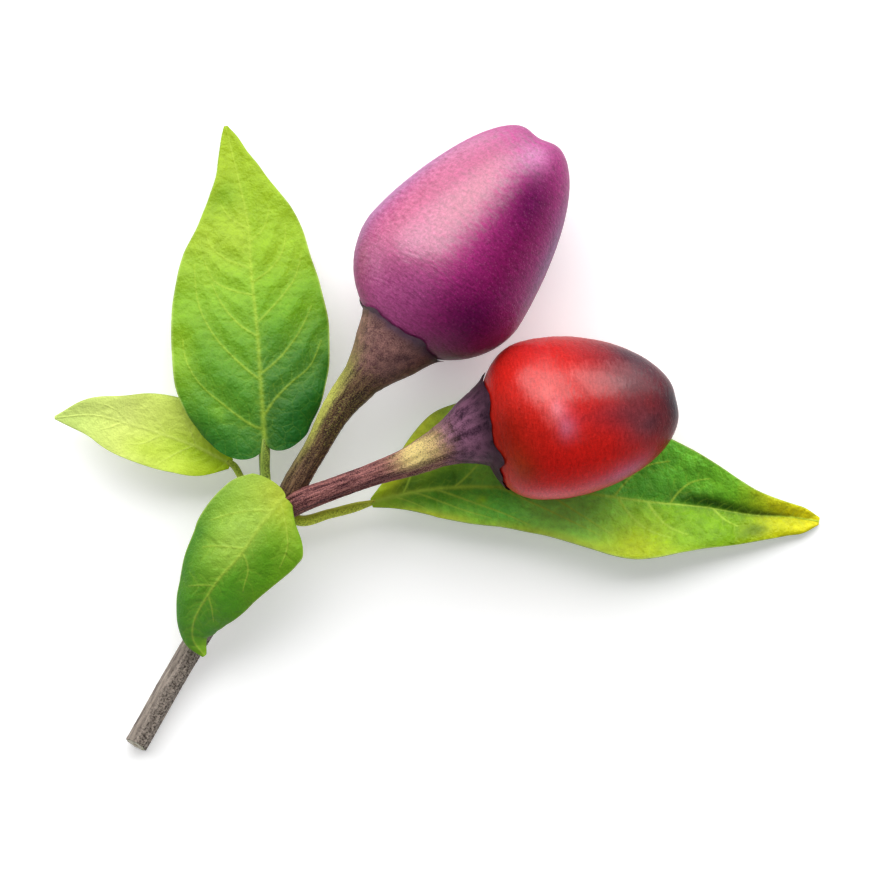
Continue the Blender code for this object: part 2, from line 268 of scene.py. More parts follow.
class Shader(NodeTree):
    """Node tree of one procedural finish."""

    MIXED_COLOURS = (6, 7)
    MIX_RESULT = 2

    def __init__(self, name: str) -> None:
        """Starts a material that has an output and nothing else.

        Args:
            name: Its name.
        """
        self.material = bpy.data.materials.new(name)
        self.material.use_nodes = True
        super().__init__(self.material.node_tree)
        self.tree.nodes.clear()
        self.output = self.node("ShaderNodeOutputMaterial")

    def mark(self, name: Mark) -> Value:
        """Single value that the mesh carries."""
        return self.value("ShaderNodeAttribute", {"attribute_name": name.value}, output="Fac")

    def mark_vector(self, name: Mark) -> Value:
        """Vector that the mesh carries."""
        return self.value("ShaderNodeAttribute", {"attribute_name": name.value}, output="Vector")

    def parts_of(self, vector: Value) -> tuple[Value, Value, Value]:
        """The three numbers of a vector."""
        made = self.node("ShaderNodeSeparateXYZ", None, {0: vector})
        return tuple(Value(self, made.outputs[i]) for i in range(3))

    def stretched(self, vector: Value, stretch: Point) -> Value:
        """Stretches a vector along each axis.

        Args:
            vector: The vector.
            stretch: What each of its numbers is multiplied by.

        Returns:
            The stretched vector.
        """
        settings = {"operation": "MULTIPLY"}
        return self.value("ShaderNodeVectorMath", settings, {0: vector, 1: stretch})

    def place(self) -> Value:
        """Place in the sprig's frame, in millimetres."""
        coordinates = self.value("ShaderNodeTexCoord", output="Object")
        inputs = {"Vector": coordinates, "Scale": (1 / MM, 1 / MM, 1 / MM)}
        return self.value("ShaderNodeMapping", None, inputs)

    def cells(self, at: Value, scale: float, feature: str = "F1") -> Value:
        """Distance pattern of a cell texture.

        Args:
            at: Coordinates at which it is read.
            scale: Number of cells to a unit of the coordinates.
            feature: What the distance is measured to, in Blender's words.

        Returns:
            The distance.
        """
        inputs = {"Vector": at, "Scale": scale}
        return self.value("ShaderNodeTexVoronoi", {"feature": feature}, inputs, "Distance")

    def ramp(self, at: Value, stops: Stops) -> Value:
        """Colour read from a ramp of (place, colour) stops."""
        return self.value("ShaderNodeValToRGB", {"stops": stops}, {0: at})

    def mix(self, factor: Number, under: Any, over: Any) -> Value:
        """Lays one colour over another.

        Args:
            factor: How much of it is laid on, from 0 to 1.
            under: Colour below, as a tuple or a Value.
            over: Colour on top.

        Returns:
            The mixed colour.
        """
        colours = [(*c, 1.0) if isinstance(c, tuple) else c for c in (under, over)]
        inputs = {0: factor, **dict(zip(self.MIXED_COLOURS, colours))}
        return self.value("ShaderNodeMix", {"data_type": "RGBA"}, inputs, self.MIX_RESULT)

    def shade(self, colour: Any, light: Value) -> Value:
        """Colour made darker or lighter by a number about 1."""
        inputs = {0: colour, "Scale": light}
        return self.value("ShaderNodeVectorMath", {"operation": "SCALE"}, inputs)

    def bump(self, height: Value, distance: float, under: Value | None = None) -> Value:
        """Fine relief.

        Args:
            height: Pattern from 0 to 1.
            distance: How many millimetres high it stands.
            under: Relief that it is laid over.

        Returns:
            The turned normal.
        """
        inputs = {"Height": height, "Distance": distance * MM, "Strength": 1.0}
        if under:
            inputs["Normal"] = under
        return self.value("ShaderNodeBump", None, inputs)

    def close(self, **inputs: Any) -> bpy.types.Material:
        """Ends the finish in a Principled surface.

        Args:
            **inputs: Its sockets, with an underscore for each space in their names.

        Returns:
            The finished material.
        """
        named = {name.replace("_", " "): value for name, value in inputs.items()}
        surface = self.node("ShaderNodeBsdfPrincipled", None, named)
        self.tree.links.new(surface.outputs[0], self.output.inputs["Surface"])
        return self.material


class GeometryTree(NodeTree):
    """Geometry Nodes tree with named inputs, which makes a plain mesh of an object."""

    def __init__(self, name: str, inputs: dict[str, str]) -> None:
        """Starts a tree.

        Args:
            name: Its name.
            inputs: Kind of socket for each named input, such as NodeSocketFloat.
        """
        super().__init__(bpy.data.node_groups.new(name, "GeometryNodeTree"))
        face = self.tree.interface
        face.new_socket("Geometry", in_out="INPUT", socket_type="NodeSocketGeometry")
        face.new_socket("Geometry", in_out="OUTPUT", socket_type="NodeSocketGeometry")
        self.identifiers = {}
        for label, kind in inputs.items():
            socket = face.new_socket(label, in_out="INPUT", socket_type=kind)
            self.identifiers[label] = socket.identifier
        self.entry = self.node("NodeGroupInput")
        self.exit = self.node("NodeGroupOutput")

    def given(self, label: str) -> Value:
        """One of the tree's inputs."""
        return Value(self, self.entry.outputs[label])

    def store(self, geometry: Any, name: Mark, value: Value, kind: str = "FLOAT") -> bpy.types.Node:
        """Stores a value at the points of a geometry.

        Args:
            geometry: The geometry.
            name: Name of the value.
            value: What is stored.
            kind: Blender's name for the type of value.

        Returns:
            The node that gives the geometry with the value.
        """
        inputs = {"Geometry": geometry, "Name": name.value, "Value": value}
        return self.node("GeometryNodeStoreNamedAttribute", {"data_type": kind}, inputs)

    def stored(self, name: Mark) -> Value:
        """Single value stored before."""
        return self.value("GeometryNodeInputNamedAttribute", None, {"Name": name.value})

    def end(self, geometry: Any) -> None:
        """Realizes what was made and gives it the tree's material.

        Args:
            geometry: What was made.
        """
        real = self.node("GeometryNodeRealizeInstances", None, {0: geometry})
        inputs = {"Geometry": real, "Material": self.given("Material")}
        dressed = self.node("GeometryNodeSetMaterial", None, inputs)
        self.tree.links.new(dressed.outputs[0], self.exit.inputs[0])

    def make(self, name: str, data: bpy.types.ID, values: dict[str, Any]) -> bpy.types.Object:
        """Runs the tree on a curve or mesh.

        Args:
            name: Name of the piece that results.
            data: The curve or mesh that it starts from.
            values: A value for each named input.

        Returns:
            The piece, as a plain mesh with no modifier.
        """
        guide = add_object(name + "_guide", data)
        modifier = guide.modifiers.new("nodes", "NODES")
        modifier.node_group = self.tree
        for label, value in values.items():
            modifier[self.identifiers[label]] = value
        bpy.context.view_layer.update()
        seen = guide.evaluated_get(bpy.context.evaluated_depsgraph_get())
        mesh = bpy.data.meshes.new_from_object(seen)
        bpy.data.objects.remove(guide)
        return add_object(name, mesh)


# ---- Geometry that the pieces share ----


def smooth(knots: Any, values: Any, at: Any) -> np.ndarray:
    """Values read from a smooth curve through knots.

    Args:
        knots: Rising places of the knots.
        values: A number or a row of numbers for each.
        at: Places to read, in an array of any shape.

    Returns:
        Array of the places' shape, with a last axis where the values are rows.
    """
    knots, values, at = (np.asarray(a, float) for a in (knots, values, at))
    slopes = np.gradient(values, knots, axis=0)
    i = np.clip(np.searchsorted(knots, at) - 1, 0, len(knots) - 2)
    column = np.shape(at) + (1,) * (values.ndim - 1)
    step = np.reshape(knots[i + 1] - knots[i], column)
    s = np.reshape(at - knots[i], column) / step
    return ((2 * s**3 - 3 * s**2 + 1) * values[i] + (s**3 - 2 * s**2 + s) * step * slopes[i]
            + (3 * s**2 - 2 * s**3) * values[i + 1] + (s**3 - s**2) * step * slopes[i + 1])


def run_of(points: Any) -> np.ndarray:
    """Distance along the line through the points up to each one."""
    points = np.asarray(points, float)
    return np.concatenate(([0.0], np.cumsum(np.linalg.norm(np.diff(points, axis=0), axis=1))))


def placed_along(point: Point, heading: float, pitch: float) -> Matrix:
    """Place whose +Z runs along a heading and pitch.

    Args:
        point: Where it stands, in millimetres.
        heading: Degrees from +X towards +Y.
        pitch: Degrees above the ground.

    Returns:
        The matrix, in millimetres, with its +X level.
    """
    a, b = math.radians(heading), math.radians(pitch)
    axis = Vector((math.cos(a) * math.cos(b), math.sin(a) * math.cos(b), math.sin(b)))
    level = axis.cross(Vector((0, 0, 1))).normalized()
    turn = Matrix((level, axis.cross(level), axis)).transposed().to_4x4()
    return Matrix.Translation(Vector(point)) @ turn


def moved(matrix: Matrix, points: np.ndarray) -> np.ndarray:
    """Points taken through a matrix, x, y and z along their last axis."""
    matrix = np.array(matrix)
    return points @ matrix[:3, :3].T + matrix[:3, 3]


def rough_field(points: np.ndarray, size: float, seed: float) -> np.ndarray:
    """Smooth noise at points.

    Args:
        points: Points, with x, y and z along the last axis.
        size: Width of its swellings in the points' unit.
        seed: Shift that makes one field unlike another.

    Returns:
        Values between about -1 and 1, of the points' shape without the last axis.
    """
    flat = points.reshape(-1, 3) / size + seed
    return np.array([noise.noise(Vector(p)) for p in flat]).reshape(points.shape[:-1])


def surface_normals(points: np.ndarray, wrapped: bool = False) -> np.ndarray:
    """Unit normals of a grid of points.

    Args:
        points: Grid of rows, columns and x, y, z.
        wrapped: True where the columns close into a ring.

    Returns:
        Normals along the product of the row and column directions.
    """
    down = np.gradient(points, axis=0)
    if wrapped:
        across = (np.roll(points, -1, axis=1) - np.roll(points, 1, axis=1)) / 2
    else:
        across = np.gradient(points, axis=1)
    normals = np.cross(down, across)
    return normals / np.maximum(np.linalg.norm(normals, axis=-1, keepdims=True), TINY)


def grid_faces(rows: int, columns: int, wrapped: bool, first: int = 0) -> np.ndarray:
    """Four-sided faces of a grid of points.

    Args:
        rows: Number of rows of points.
        columns: Number of points in a row.
        wrapped: True where each row is a ring.
        first: Number of the grid's first point.

    Returns:
        Rows of four point numbers.
    """
    i = np.arange(rows - 1)[:, None]
    j = np.arange(columns if wrapped else columns - 1)[None, :]
    after = (j + 1) % columns
    corners = (i * columns + j, (i + 1) * columns + j, (i + 1) * columns + after,
               i * columns + after)
    return np.stack(corners, axis=-1).reshape(-1, 4) + first


def stack_faces(rings: int, sides: int) -> list[list[int]]:
    """Faces of a stack of rings with a fan at each end.

    Args:
        rings: Number of rings.
        sides: Number of points in a ring.

    Returns:
        Point numbers of each face. The middle of the first ring and that of the last are
        numbered after the rings' own points.
    """
    after = [(j + 1) % sides for j in range(sides)]
    first, last = rings * sides, rings * sides + 1
    top = (rings - 1) * sides
    faces = grid_faces(rings, sides, True).tolist()
    faces += [[first, after[j], j] for j in range(sides)]
    faces += [[last, top + j, top + after[j]] for j in range(sides)]
    return faces


def circle_of(sides: int) -> tuple[np.ndarray, np.ndarray]:
    """Cosines and sines of the directions of a ring's points."""
    turn = np.linspace(0, 2 * math.pi, sides, endpoint=False)
    return np.cos(turn), np.sin(turn)


def add_mesh(name: str, points: np.ndarray, faces: list[Any], marks: dict[Mark, np.ndarray],
             material: bpy.types.Material, sharp: float = 60.0) -> bpy.types.Object:
    """Adds a smooth mesh piece.

    Args:
        name: The piece's name.
        points: Points in millimetres, one to a row.
        faces: Point numbers of each face.
        marks: Values at the points for the finish, single or as vectors.
        material: The finish.
        sharp: Degrees between faces past which an edge stays sharp.

    Returns:
        The new object.
    """
    mesh = bpy.data.meshes.new(name)
    mesh.from_pydata((points * MM).tolist(), [], faces)
    work = bmesh.new()
    work.from_mesh(mesh)
    bmesh.ops.recalc_face_normals(work, faces=work.faces)
    work.to_mesh(mesh)
    work.free()
    for mark, values in marks.items():
        kind, slot = ("FLOAT", "value") if values.ndim == 1 else ("FLOAT_VECTOR", "vector")
        layer = mesh.attributes.new(mark.value, kind, "POINT")
        layer.data.foreach_set(slot, np.ascontiguousarray(values, np.float32).ravel())
    mesh.shade_smooth()
    mesh.set_sharp_from_angle(angle=math.radians(sharp))
    mesh.materials.append(material)
    return add_object(name, mesh)


def add_object(name: str, data: bpy.types.ID | None) -> bpy.types.Object:
    """Adds an object to the scene.

    Args:
        name: Its name.
        data: The mesh, curve, camera or light that it shows.

    Returns:
        The new object.
    """
    made = bpy.data.objects.new(name, data)
    bpy.context.scene.collection.objects.link(made)
    return made


def poly_curve(name: str, lines: list[np.ndarray]) -> bpy.types.Curve:
    """Curve of straight pieces.

    Args:
        name: Its name.
        lines: For each spline, rows of x, y, z and radius in millimetres.

    Returns:
        The curve, in metres, with its radii at its points.
    """
    curve = bpy.data.curves.new(name, "CURVE")
    curve.dimensions = "3D"
    for line in lines:
        spline = curve.splines.new("POLY")
        spline.points.add(len(line) - 1)
        for point, (x, y, z, radius) in zip(spline.points, line):
            point.co = (x * MM, y * MM, z * MM, 1)
            point.radius = radius * MM
    return curve


def dress(piece: bpy.types.Object, slot: str, *nodes: str) -> None:
    """Parents a piece to the sprig's body, hides the imported parts that it stands for, and logs
    it.

    Args:
        piece: The finished piece.
        slot: Name of its material slot, which is only logged.
        *nodes: Imported parts that it stands for, which are hidden.
    """
    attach(piece, BODY)
    if nodes:
        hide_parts(*nodes)
    triangles = sum(len(face.vertices) - 2 for face in piece.data.polygons)
    LOG.info("%s: %d triangles, finish %s, stands for %s", piece.name, triangles, slot, nodes)


# ---- Finishes ----


@dataclass(frozen=True)
class Patch:
    """Soft patch of another colour on a leaf, at shares of its length and half-width.

    The colour is red, green and blue as seen, from 0 to 255. Some patches are the leaf's own
    colour, and some are painted light and painted shade.
    """

    along: float
    across: float
    length: float
    width: float
    colour: tuple[int, int, int]
    strength: float = 1.0


@dataclass(frozen=True)
class BladeFinish:
    """Finish of a leaf blade.

    The left and right halves each have a ramp of colours from the base to the tip. Patches,
    mottling, pale veins, a light margin and a paler underside are laid over them. Parts of the
    ramps and some patches are painted light and shade.
    """

    name: str
    left: Stops
    right: Stops
    vein: Colour
    under: Colour
    vein_strength: float
    patches: tuple[Patch, ...]
    net_strength: float = 0.2
    web_strength: float = 0.10
    web_relief: float = 0.05
    halo: float = 0.10
    mottle: float = 0.40
    grain: float = 0.26
    drift_scale: float = 0.35
    blotch_scale: float = 0.9
    grain_scale: float = 5.5
    web_scale: float = 0.55
    mesh_scale: float = 1.5
    pore_scale: float = 3.2
    stray: float = 0.08
    seam: float = 0.12
    web_line: float = 0.055
    mesh_line: float = 0.10
    edge: Colour = albedo(190, 214, 110)
    edge_from: float = 0.965
    edge_strength: float = 0.75
    pore_height: float = 0.035
    roughness: float = 0.45
    gloss: float = 0.22

    def build(self) -> bpy.types.Material:
        """Makes the material."""
        shader = Shader(self.name)
        along, across = shader.mark(Mark.ALONG), shader.mark(Mark.ACROSS)
        vein, net = shader.mark(Mark.VEIN), shader.mark(Mark.NET)
        under = shader.mark(Mark.UNDER)
        place = shader.place()
        drift = shader.noise(place, self.drift_scale, 3.0) - 0.5
        at = along + drift * self.stray
        colour = shader.mix(across.step(-self.seam, self.seam), shader.ramp(at, self.right),
                            shader.ramp(at, self.left))
        for patch in self.patches:
            away = ((along - patch.along) / patch.length) ** 2
            away = away + ((across - patch.across) / patch.width) ** 2
            mask = (away * (1 + drift)).fading() * patch.strength
            colour = shader.mix(mask, colour, albedo(*patch.colour))
        blotch = shader.noise(place, self.blotch_scale, 4.0, 0.6) - 0.5
        grain = shader.noise(place, self.grain_scale, 2.0, 0.7) - 0.5
        colour = shader.shade(colour, 1 + blotch * self.mottle + grain * self.grain)
        halo = (1 - shader.mark(Mark.BULGE)) * self.halo
        colour = shader.mix(halo * (0.7 + blotch), colour, self.vein)
        web = shader.cells(place, self.web_scale, "DISTANCE_TO_EDGE")
        mesh = shader.cells(place, self.mesh_scale, "DISTANCE_TO_EDGE")
        lines = web.step(self.web_line, 0.0) * 0.7 + mesh.step(self.mesh_line, 0.0) * 0.3
        lines = lines * (blotch * 2 + 0.8) * self.web_strength
        colour = shader.mix(lines * (1 - under * 0.5), colour, self.vein)
        colour = shader.mix(net * self.net_strength, colour, self.vein)
        faded = vein * (blotch * 1.4 + 1) * self.vein_strength
        colour = shader.mix(faded, colour, self.vein)
        edge = abs(across).step(self.edge_from, 1.0) * self.edge_strength
        colour = shader.mix(edge, colour, self.edge)
        pale = shader.mix(vein * 0.5, self.under, self.vein)
        pale = shader.shade(pale, 1 + blotch * 0.2 + grain * 0.15)
        colour = shader.mix(under, colour, pale)
        pores = shader.cells(place, self.pore_scale)
        relief = shader.bump(web.step(0.0, 0.35) + mesh.step(0.0, 0.4) * 0.4, self.web_relief)
        relief = shader.bump(pores + grain * 1.5, self.pore_height, relief)
        roughness = self.roughness + under * 0.18 + grain * 0.12
        return shader.close(Base_Color=colour, Roughness=roughness, Normal=relief,
                            Specular_IOR_Level=self.gloss)


@dataclass(frozen=True)
class BlushAndLight:
    """Soft patch of another colour on a fruit, about a point of the unit ball.

    The ball's +Z is the fruit's tip, its +X the level side and its -Y the top. The colour is
    red, green and blue on a screen, from 0 to 255. Some patches are the skin's own colour, and some
    are painted light and shade: painted highlights, painted rim reflections and painted shade.
    """

    centre: Point
    spread: float
    colour: tuple[int, int, int]
    strength: float = 1.0
    stretch: Point = (1.0, 1.0, 1.0)

    def mask(self, point: tuple[Value, Value, Value], wander: Value) -> Value:
        """How much of the patch lies at a point of the ball.

        Args:
            point: Its x, y and z.
            wander: Noise that shifts the patch's edge.

        Returns:
            A value from 0 to the patch's strength.
        """
        away = 0.0
        for part, centre, stretch in zip(point, self.centre, self.stretch):
            away = ((part - centre) / (self.spread * stretch)) ** 2 + away
        return (away * (1 + wander * 0.9)).fading() * self.strength


@dataclass(frozen=True)
class Window:
    """Waxed part of a fruit's skin, between two limits across the ball and two along it.

    The limits along it lean with the slant, and every edge is ragged and soft.
    """

    across: Range
    along: Range
    soft: float
    slant: float = 0.0
    strength: float = 1.0

    def mask(self, x: Value, z: Value, ragged: Value) -> Value:
        """How much of the wax lies at a point of the ball.

        Args:
            x: Place across the ball.
            z: Place along it.
            ragged: Noise that shifts the edges.

        Returns:
            A value from 0 to the window's strength.
        """
        low, high = self.across
        inside = (x + ragged).step(low - self.soft, low + self.soft)
        inside = inside * (x + ragged).step(high + self.soft, high - self.soft)
        leaning = z - x * self.slant + ragged
        low, high = self.along
        inside = inside * leaning.step(low - self.soft, low + self.soft)
        return inside * leaning.step(high + self.soft, high - self.soft) * self.strength


@dataclass(frozen=True)
class SkinFinish:
    """Finish of a fruit's waxy skin, with speckle, fine ticks round its axis and patches of its own
    colour and of painted light and shade.
    """

    name: str
    base: Colour
    blushes_and_light: tuple[BlushAndLight, ...]
    speckle: Colour
    roughness: float
    speckle_strength: float
    tick: float
    grain: float
    gloss: float
    coat: float
    coat_roughness: float
    coat_index: float
    windows: tuple[Window, ...]
    ragged: float
    relief: float
    wander_scale: float = 0.28
    mottle_scale: float = 1.1
    grain_scale: float = 2.8
    speck_scale: float = 2.6
    wrinkle_stretch: Point = (10.0, 10.0, 50.0)
    speck_radii: Range = (0.42, 0.10)
    mottle: float = 0.25
    coat_from: float = -0.15
    coat_full: float = -0.45

    def build(self) -> bpy.types.Material:
        """Makes the material."""
        shader = Shader(self.name)
        place = shader.place()
        ball = shader.mark_vector(Mark.BALL)
        x, y, z = shader.parts_of(ball)
        wander = shader.noise(place, self.wander_scale, 3.0) - 0.5
        colour: Any = self.base
        # Patches of the skin's own colour, and painted highlights, painted rim reflections and
        # painted shade, laid over the base
        for spot in self.blushes_and_light:
            tint = screen(*spot.colour)
            colour = shader.mix(spot.mask((x, y, z), wander), colour, tint)
        mottle = shader.noise(place, self.mottle_scale, 4.0, 0.6) - 0.5
        grain = shader.noise(place, self.grain_scale, 3.0, 0.8) - 0.5
        wrinkles = shader.noise(shader.stretched(ball, self.wrinkle_stretch), 1.0, 3.0, 0.6)
        ticks = (wrinkles - 0.5) * self.tick
        colour = shader.shade(colour, 1 + mottle * self.mottle + grain * self.grain + ticks)
        specks = shader.cells(place, self.speck_scale).step(*self.speck_radii)
        colour = shader.mix(specks * self.speckle_strength, colour, self.speckle)
        relief = shader.bump(wrinkles, self.relief)
        relief = shader.bump(grain + specks * 0.6, self.relief * 0.6, relief)
        roughness = self.roughness + grain * 0.10 + mottle * 0.06
        ragged = (wrinkles - 0.5) * self.ragged + mottle * 0.1
        masks = [window.mask(x, z, ragged) for window in self.windows]
        coat = masks[0]
        for mask in masks[1:]:
            coat = shader.math("MAXIMUM", coat, mask)
        coat = coat * y.step(self.coat_from, self.coat_full) * (1 + grain * 0.8) * self.coat
        return shader.close(Base_Color=colour, Roughness=roughness, Normal=relief,
                            Specular_IOR_Level=self.gloss, Coat_Weight=coat,
                            Coat_Roughness=self.coat_roughness, Coat_IOR=self.coat_index)


@dataclass(frozen=True)
class StalkFinish:
    """Finish of a fruit's stalk and calyx: streaks along it, granules, and one pale zone.

    Places along it are in millimetres from the neck, where the stalk becomes the calyx.
    """

    name: str
    dark: Colour
    light: Colour
    pale: Colour
    pale_from: float
    pale_to: float
    pale_side: float
    pale_strength: float
    calyx_dark: Colour
    calyx_light: Colour
    rim: Colour
    cup_streaks: float = 0.1
    rim_at: float = 7.0
    rim_width: float = 1.2
    rim_strength: float = 0.8
    cup_from: float = -0.5
    cup_full: float = 3.0
    streak_stretch: Point = (5.5, 5.5, 0.35)
    granule_scale: float = 6.0
    patch_scale: float = 0.9
    dark_to_light: Range = (0.40, 0.62)
    cup_dark_to_light: Range = (0.36, 0.66)
    streak_height: float = 0.09
    granule_height: float = 0.05
    gloss: float = 0.22

    def build(self) -> bpy.types.Material:
        """Makes the material."""
        shader = Shader(self.name)
        place = shader.place()
        ring = shader.mark_vector(Mark.RING)
        cosine, sine, run = shader.parts_of(ring)
        streaks = shader.noise(shader.stretched(ring, self.streak_stretch), 1.0, 4.0, 0.65)
        granules = shader.noise(place, self.granule_scale, 3.0, 0.7)
        patches = shader.noise(place, self.patch_scale, 3.0, 0.6)
        tone = (streaks * 0.5 + granules * 0.5).step(*self.dark_to_light)
        colour = shader.mix(tone, self.dark, self.light)
        cup = patches * 0.4 + granules * (0.6 - self.cup_streaks) + streaks * self.cup_streaks
        cup = cup.step(*self.cup_dark_to_light)
        cup_colour = shader.mix(cup, self.calyx_dark, self.calyx_light)
        onward = (run + (patches - 0.5) * 3.0).step(self.cup_from, self.cup_full)
        colour = shader.mix(onward, colour, cup_colour)
        side = cosine * math.cos(self.pale_side) + sine * math.sin(self.pale_side)
        flecks = granules.step(0.52, 0.66) * 0.55
        side = (side + (streaks - 0.5) * 0.8).step(0.35, 1.0)
        middle, half = (self.pale_from + self.pale_to) / 2, (self.pale_to - self.pale_from) / 2
        zone = (((run - middle) / half) ** 2).fading() * self.pale_strength
        zone = zone * (side * granules.step(0.28, 0.5) + flecks)
        colour = shader.mix(zone, colour, self.pale)
        uneven = (granules - 0.5) * 1.6 + (patches - 0.5) * 2.0
        lip = (run + uneven).step(self.rim_at - self.rim_width, self.rim_at)
        colour = shader.mix(lip * self.rim_strength, colour, self.rim)
        relief = shader.bump(streaks, self.streak_height)
        relief = shader.bump(granules, self.granule_height, relief)
        roughness = 0.5 + (granules - 0.5) * 0.3
        return shader.close(Base_Color=colour, Roughness=roughness, Normal=relief,
                            Specular_IOR_Level=self.gloss)


@dataclass(frozen=True)
class BarkFinish:
    """Finish of a woody or green limb: ribs of two tones, granules and streaks."""

    name: str
    dark: Colour
    light: Colour
    groove: Colour
    bright_side: float = math.pi
    streak: float = 0.3
    granule: float = 4.6
    relief: float = 0.12
    roughness: float = 0.75
    gloss: float = 0.3

    def build(self) -> bpy.types.Material:
        """Makes the material."""
        shader = Shader(self.name)
        place = shader.place()
        ring = shader.mark_vector(Mark.RING)
        cosine, sine, _ = shader.parts_of(ring)
        streaks = shader.noise(shader.stretched(ring, (4.0, 4.0, self.streak)), 1.0, 4.0, 0.7)
        granules = shader.noise(place, self.granule, 3.0, 0.75)
        side = cosine * math.cos(self.bright_side) + sine * math.sin(self.bright_side)
        bright = (side + (streaks - 0.5) * 1.2).step(-0.4, 0.8)
        rough = granules.step(0.38, 0.62) * (1 - bright) + streaks.step(0.3, 0.7) * bright
        colour = shader.mix(rough, self.dark, self.light)
        cracks = granules.step(0.42, 0.30)
        colour = shader.mix(cracks * (1 - bright * 0.6), colour, self.groove)
        relief = shader.bump(streaks, self.relief)
        relief = shader.bump(granules, self.relief * 0.8, relief)
        return shader.close(Base_Color=colour, Roughness=self.roughness, Normal=relief,
                            Specular_IOR_Level=self.gloss)


def green_bark(name: str, dark: Colour, light: Colour) -> BarkFinish:
    """Finish of a leaf stalk: a smoother, greener bark."""
    return BarkFinish(name, dark, light, groove=screen(74, 88, 28), relief=0.03, roughness=0.5)


@dataclass(frozen=True)
class CutFinish:
    """Finish of the cut end: dark bark, a green line, pale wood with fine rays, and pith."""

    name: str
    bark: Colour = screen(96, 86, 78)
    green: Colour = screen(150, 165, 110)
    wood: Colour = screen(214, 208, 190)
    pith: Colour = screen(168, 152, 124)

    def build(self) -> bpy.types.Material:
        """Makes the material."""
        shader = Shader(self.name)
        place = shader.place()
        out = shader.mark(Mark.ALONG)
        ring = shader.mark_vector(Mark.RING)
        grain = shader.noise(place, 6.0, 3.0, 0.7)
        rays = shader.noise(shader.stretched(ring, (9.0, 9.0, 0.6)), 1.0, 2.0, 0.6)
        at = out + (grain - 0.5) * 0.10
        stops = ((0.0, self.pith), (0.22, self.pith), (0.30, self.wood), (0.80, self.wood),
                 (0.86, self.green), (0.92, self.bark))
        colour = shader.shade(shader.ramp(at, stops), 0.72 + rays * 0.35 + grain * 0.2)
        relief = shader.bump(rays + grain, 0.05)
        return shader.close(Base_Color=colour, Roughness=0.8, Normal=relief)


@dataclass(frozen=True)
class FloorFinish:
    """Matt white paper under the sprig, lit a little from beneath."""

    name: str = "floor_paper"
    colour: Colour = (0.90, 0.90, 0.90)
    uneven: float = 0.03
    glow: float = 0.28

    def build(self) -> bpy.types.Material:
        """Makes the material."""
        shader = Shader(self.name)
        fibres = shader.noise(shader.place(), 0.8, 3.0)
        colour = shader.shade(self.colour, 1 + (fibres - 0.5) * self.uneven)
        return shader.close(Base_Color=colour, Roughness=0.9, Specular_IOR_Level=0.1,
                            Emission_Color=(1.0, 1.0, 1.0, 1.0), Emission_Strength=self.glow)


# ---- Leaves ----


@dataclass
class Vein:
    """Vein of a leaf: its line in (along, across) shares, and how wide it is at both ends."""

    line: Stations
    start: float
    end: float
    strength: float = 1.0

    def drawn(self, leaf: "Leaf", steps: int) -> np.ndarray:
        """Points of the vein.

        Args:
            leaf: The leaf that it lies in.
            steps: How many points are drawn.

        Returns:
            Rows of along, across and half-width in millimetres.
        """
        knots = run_of(np.asarray(self.line, float) * (leaf.length, leaf.breadth))
        at = np.linspace(0, knots[-1], steps)
        points = smooth(knots, self.line, at) if len(self.line) > 2 else np.stack(
            [np.interp(at, knots, column) for column in np.transpose(self.line)], axis=-1)
        width = np.linspace(self.start, self.end, steps)
        return np.column_stack((points, width))


